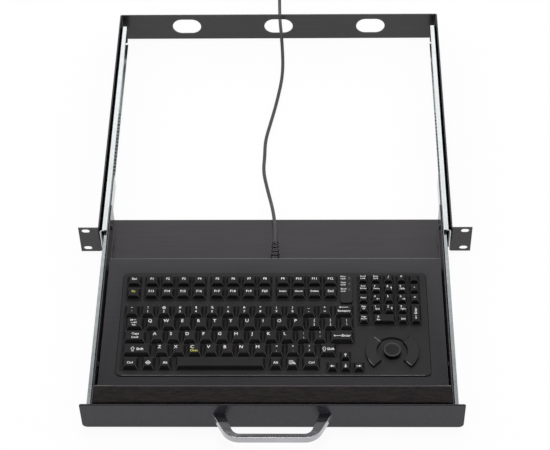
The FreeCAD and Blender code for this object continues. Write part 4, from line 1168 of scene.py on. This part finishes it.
# %% What every key says
sayings = {
    "upper_function_keys": [function_key(text) for text in ["Esc"] + [f"F{n}" for n in range(1, 13)]],
    "lower_function_keys": [function_key("Fn", YELLOW)] + [function_key(f"F{n}") for n in range(13, 21)]
                           + [function_key(text) for text in ("Insert", "Home", "Delete", "End")],
    "number_keys": pairs("~`", "!1", "@2", "#3", "$4", "%5", "^6", "&7", "*8", "(9", ")0", "_-", "+="),
    "backspace_key": [[*arrow((5.0, 2.8), (-5.4, 2.8), 1.3, 0.5), word("Backspace", 0, -2.6, 2.5)]],
    "tab_key": [TAB_MARK],
    "upper_letter_keys": letters("QWERTYUIOP") + pairs("{[", "}]", "|\\"),
    "caps_lock_key": [left_lines("Caps", "Lock", -3.4, -0.6, 2.9, 5.2)],
    "home_letter_keys": letters("ASDFGHJKL") + pairs(":;", "\"'"),
    "enter_key": [[*arrow((-0.4, -1.1), (-9.4, -1.1), 1.4, 0.5), word("Enter", 5.0, -1.1, 3.2)]],
    "left_shift_key": [[*shift_arrow(-4.4, -1.2), word("Shift", 4.0, -1.4, 3.3)]],
    "lower_letter_keys": letters("ZXCVBNM") + pairs("<,", ">.", "?/"),
    "right_shift_key": [[*shift_arrow(-4.3, -1.4), word("Shift", 3.3, -1.5, 3.3)]],
    "left_modifier_keys": [[word("Ctrl", 0, -1.8, 3.0)], SYSTEM_MARK, [word("Alt", 0.8, -1.8, 3.0)]],
    "right_modifier_keys": [[word("Alt", 0, -1.8, 3.0)], MENU_MARK, [word("Ctrl", 0.6, -1.8, 3.0)]],
    "arrow_keys": [arrow((0, -3.2), (0, 1.0), 1.5, 0.6), arrow((2.4, -1.6), (-2.2, -1.6), 1.5, 0.6),
                   arrow((0, 0.8), (0, -3.4), 1.5, 0.6), arrow((-2.4, -1.6), (2.2, -1.6), 1.5, 0.6)],
    "numpad_keys": [
        two_lines("Scroll", "Lock"), two_lines("Num", "Lock"), [word("/", 0, 0.6, 3.8)],
        [word("*", 0, 0.4, 4.2)], [],
        two_lines("Print", "Screen"), pad_digit("7", word("Home", 0.6, -1.8, 2.0)),
        pad_digit("8", *arrow((2.8, -2.2), (2.8, 0.8), 1.0, 0.5)),
        pad_digit("9", word("PgUp", 0.8, -1.8, 2.0)),
        [word("-", 0, 0.6, 4.0)],
        [word("Pause", 0, -0.2, 2.0)], pad_digit("4", *arrow((3.6, -2.2), (0.2, -2.2), 1.0, 0.5)),
        pad_digit("5"), pad_digit("6", *arrow((0.4, -2.2), (3.8, -2.2), 1.0, 0.5)), [word("+", 0, 0.2, 3.8)],
        two_lines("Page", "Up"), pad_digit("1", word("End", 1.0, -2.0, 2.2)),
        pad_digit("2", *arrow((2.7, 1.2), (2.7, -1.8), 1.0, 0.5)),
        pad_digit("3", word("PgDn", 1.0, -1.8, 2.0)),
        two_lines("Page", "Down"), [word("Del", 0.4, -1.4, 2.4)],
    ],
    "numpad_zero_key": [[word("0", -6.9, 1.7, 2.9), word("Ins", -6.9, -2.3, 2.3)]],
    "numpad_enter_key": [[word("Enter", 0, 2.6, 2.9, WHITE, math.pi / 2),
                          *arrow((0, -4.0), (0, -8.6), 1.0, 0.5)]],
}
sayings["lower_letter_keys"][2].append(word("Clean", -0.8, -3.4, 2.7, YELLOW))
print(sum(len(group) for group in sayings.values()), "keys carry a legend list")

# %% Print the legends on their keys
KEY_TOP = (MAT_TOP + KEY_RISE) * MM
for group, keys in sayings.items():
    marks = [(Vector((x, y, KEY_TOP)), mark)
             for (x, y), said in zip(key_tops[group], keys, strict=True) for mark in said]
    legend = printed(f"{group}_legends", marks)
    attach(legend, group)
block_low, block_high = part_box("indicator_block")
labels = []
for place, lift, line in zip(middles("indicator_lenses"), (1.5, 0.8, -0.4), ("Num", "Caps", "Scroll")):
    edge = Vector((block_low[0], place.y, block_high[2]))
    labels += [(edge, mark) for mark in left_lines(line, "Lock", 0.7, lift, 2.1, 3.4)]
indicator_labels = printed("indicator_labels", labels)
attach(indicator_labels, "drawer")
for sheet in type_case.values():
    bpy.data.meshes.remove(sheet)
print("legends on", len(sayings), "key groups")

# %% [markdown]
# ## Pointing disc and its buttons
# A round thumb disc with a shallow dish tilts on a hidden stem, between two crescent buttons. The disc is
# turned from a profile, its top rim lighter as a painted highlight and its side near black as painted shade;
# the crescents keep their solids with well rounded edges. A low ridge curves behind the disc, painted near
# black as painted shade, and thin beads paint highlights on the crescents' ends and shade in the dark gaps.

# %% Thumb disc
POINTER = (138.3, -174.5)
stem_low, stem_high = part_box("pointer_stem")
disc_low, disc_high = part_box("pointer_disc")
stem_radius = (stem_high[0] - stem_low[0]) / 2 / MM
disc_radius = (disc_high[0] - disc_low[0]) / 2 / MM
bottom, top = disc_low[2] / MM, disc_high[2] / MM
socket = stem_high[2] / MM + 0.5
disc_mesh = lathe("pointer_disc_turned", [
    (stem_radius + 0.5, socket), (stem_radius + 0.5, bottom), (disc_radius - 0.6, bottom),
    (disc_radius - 0.1, bottom + 0.6), (disc_radius, top - 1.0), (disc_radius - 0.25, top - 0.35),
    (disc_radius - 0.8, top - 0.05), (disc_radius - 1.3, top), (disc_radius - 1.8, top - 0.15),
    (disc_radius - 3.0, top - 0.55), (disc_radius - 5.0, top - 0.7), (2.0, top - 0.7)], 48)
disc_mesh.transform(Matrix.Translation(spot(*POINTER, 0)) @ Matrix.Rotation(math.pi / 2, 4, "X")
                    @ Matrix.Scale(MM, 4))
all_smooth(disc_mesh)
disc_mesh.set_sharp_from_angle(angle=math.radians(50))
stands_for(linked("pointer_disc_turned", disc_mesh, pointer_plastic, painted_shade_black), "pointer_disc")
# the disc's side wall is painted near black as painted shade, and its top rim is marked for a lighter painted
# highlight
for face in disc_mesh.polygons:
    face.material_index = int(face.normal.z < 0.35 and face.center.z < (top - 0.9) * MM)
disc_rim_highlight = disc_mesh.attributes.new("edge", "FLOAT", "POINT")
disc_rim_highlight.data.foreach_set("value", [0.3 * (vertex.co.z > (top - 0.3) * MM) for vertex in disc_mesh.vertices])
print(f"disc {2 * disc_radius:.1f} mm across on a stem of {2 * stem_radius:.1f} mm")

# %% Crescents, painted highlights on their ends, and the ridge behind the disc in painted shade
def round_disc(radius, angle, z):
    """A place at a radius and an angle in degrees round the pointing disc."""
    return spot(*around(POINTER, radius, math.radians(angle), z))


def bead(name, body, radius, finish, *points):
    """A thin round bead along points, on a body of the keypad."""
    path = bpy.data.meshes.new(name)
    path.from_pydata([tuple(point) for point in points], [(i, i + 1) for i in range(len(points) - 1)], [])
    line = grown(name, path, tube_tree, finish, Radius=radius * MM, Sides=10, Finish=finish)
    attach(line, body)


for node in ("left_pointer_button", "right_pointer_button"):
    softened(node, 0.9, mat_silicone, segments=3)
button_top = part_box("left_pointer_button")[1][2] / MM - 0.3
# the ridge and the gap line are painted near black, painted shade
bead("pointer_ridge", "drawer", 1.35, painted_shade_black,
     *[round_disc(20.5, angle, MAT_TOP) for angle in range(134, 45, -4)])
bead("right_button_upper_gap", "drawer", 0.9, painted_shade_black,
     *[round_disc(radius, 46.5, MAT_TOP + 0.6) for radius in (20.5, 25, 30.5)])
# pale beads on the crescents' ends, painted highlights
bead("left_button_upper_end", "left_pointer_button", 0.5, highlight_rubber,
     round_disc(18.5, 136.5, button_top), round_disc(28, 136, button_top))
bead("left_button_lower_rim", "left_pointer_button", 0.4, highlight_rubber,
     *[round_disc(30.4, angle, button_top) for angle in range(204, 226, 4)])
bead("right_button_lower_end", "right_pointer_button", 0.55, highlight_rubber,
     round_disc(22.5, -44.4, button_top), round_disc(30.2, -44.4, button_top))
# a pale line along the mat's front rim, a painted highlight
bead("mat_front_rim", "drawer", 0.5, powder_edge_highlight,
     spot(-175, -207.5, MAT_TOP - 0.2), spot(175, -207.5, MAT_TOP - 0.2))
# a black bead at the block's front foot, a painted shadow
bead("indicator_block_foot", "drawer", 0.8, painted_shade_black,
     spot(80, -103.5, MAT_TOP), spot(93, -103.5, MAT_TOP))
print("beads on the crescents at", round(button_top, 2), "mm")

# %% [markdown]
# ## Palm rest
# A strip of firm foam with a grained skin lies in front of the keys. A foam block is a pad, so it is blown up
# a little by Blender's Cloth from a slightly smaller block: its top crowns, its long sides belly, and its
# underside stays flat on the tray, where the points are pinned.

# %% Foam skin
rest_low, rest_high = (Vector(corner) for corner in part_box("palm_rest"))
REAR_OVERHANG = 1.8 * MM
rest_high.y += REAR_OVERHANG


def skin_grain(place):
    return grain(place, 480, 3, (0.2, 1, 1)) * 0.6 + grain(place, 1100, 2, (0.6, 1, 1)) * 0.4


def skin_colour(place):
    """Brown black streaks, and a paler line along the rear edge, a painted highlight."""
    streaks = colour_mix(skin_grain(place).clamped(0.38, 0.62), tone(6, 4, 5), tone(37, 31, 31))
    rear_highlight = axis_of(place, "Y").clamped(rest_high.y - 3.0 * MM, rest_high.y - 2.2 * MM)
    return colour_mix(rear_highlight, streaks, tone(92, 88, 89))


palm_skin = new_finish("palm_rest_skin", {"Specular IOR Level": 0.12}, skin_colour,
                       lambda place: skin_grain(place) * 0.3 + 0.5,
                       lambda place: bump(skin_grain(place), 0.00008))
print("skin:", palm_skin.name)

# %% A block of even quads
SHRINK = 0.5 * MM
PAD_CUTS = (96, 8, 4)
RIM = 0.8
pad_shape = bmesh.new()
bmesh.ops.create_cube(pad_shape, size=1.0)
pad_size = rest_high - rest_low - Vector((2, 2, 0)) * SHRINK
pad_middle = (rest_low + rest_high) / 2
bmesh.ops.transform(pad_shape, matrix=Matrix.Translation(pad_middle) @ Matrix.Diagonal((*pad_size, 1)),
                    verts=pad_shape.verts)
for axis, cuts in enumerate(PAD_CUTS):
    across = Vector([float(axis == other) for other in range(3)])
    for cut in range(1, cuts):
        place = pad_middle + across * pad_size[axis] * (cut / cuts - 0.5)
        everything = pad_shape.verts[:] + pad_shape.edges[:] + pad_shape.faces[:]
        bmesh.ops.bisect_plane(pad_shape, geom=everything, plane_co=place, plane_no=across)
rims = [edge for edge in pad_shape.edges if edge.calc_face_angle(0.0) > 1.0]
bmesh.ops.bevel(pad_shape, geom=rims, offset=RIM * MM, segments=2, affect="EDGES", profile=0.5)
pad = linked("palm_rest_pad", mesh_of(pad_shape, "palm_rest_pad"), palm_skin)
print("block of", len(pad.data.polygons), "faces")

# %% Blow up the pad
BLOWN_AT = 20
MOST = 0.7 * MM
pinned = pad.vertex_groups.new(name="pinned")
pinned.add([v.index for v in pad.data.vertices if v.co.z < rest_low.z + 0.5 * MM], 1.0, "REPLACE")
before = [vertex.co.copy() for vertex in pad.data.vertices]
cloth = with_modifier(pad, "CLOTH")
cloth.settings.use_pressure = True
cloth.settings.uniform_pressure_force = 4
cloth.settings.vertex_group_mass = "pinned"
cloth.settings.effector_weights.gravity = 0
cloth.point_cache.frame_end = BLOWN_AT
for moment in range(1, BLOWN_AT + 1):
    bpy.context.scene.frame_set(moment)
frozen(pad)
bpy.context.scene.frame_set(1)
furthest = 0.0
for vertex, start in zip(pad.data.vertices, before):
    step = vertex.co - start
    if step.length > MOST:
        vertex.co = start + step.normalized() * MOST
    furthest = max(furthest, (vertex.co - start).length)
all_smooth(pad.data)
with_modifier(pad, "SUBSURF", levels=1, render_levels=1)
frozen(pad)
stands_for(pad, "palm_rest")
print(f"pad of {len(pad.data.polygons)} faces, moved up to {furthest / MM:.2f} mm")
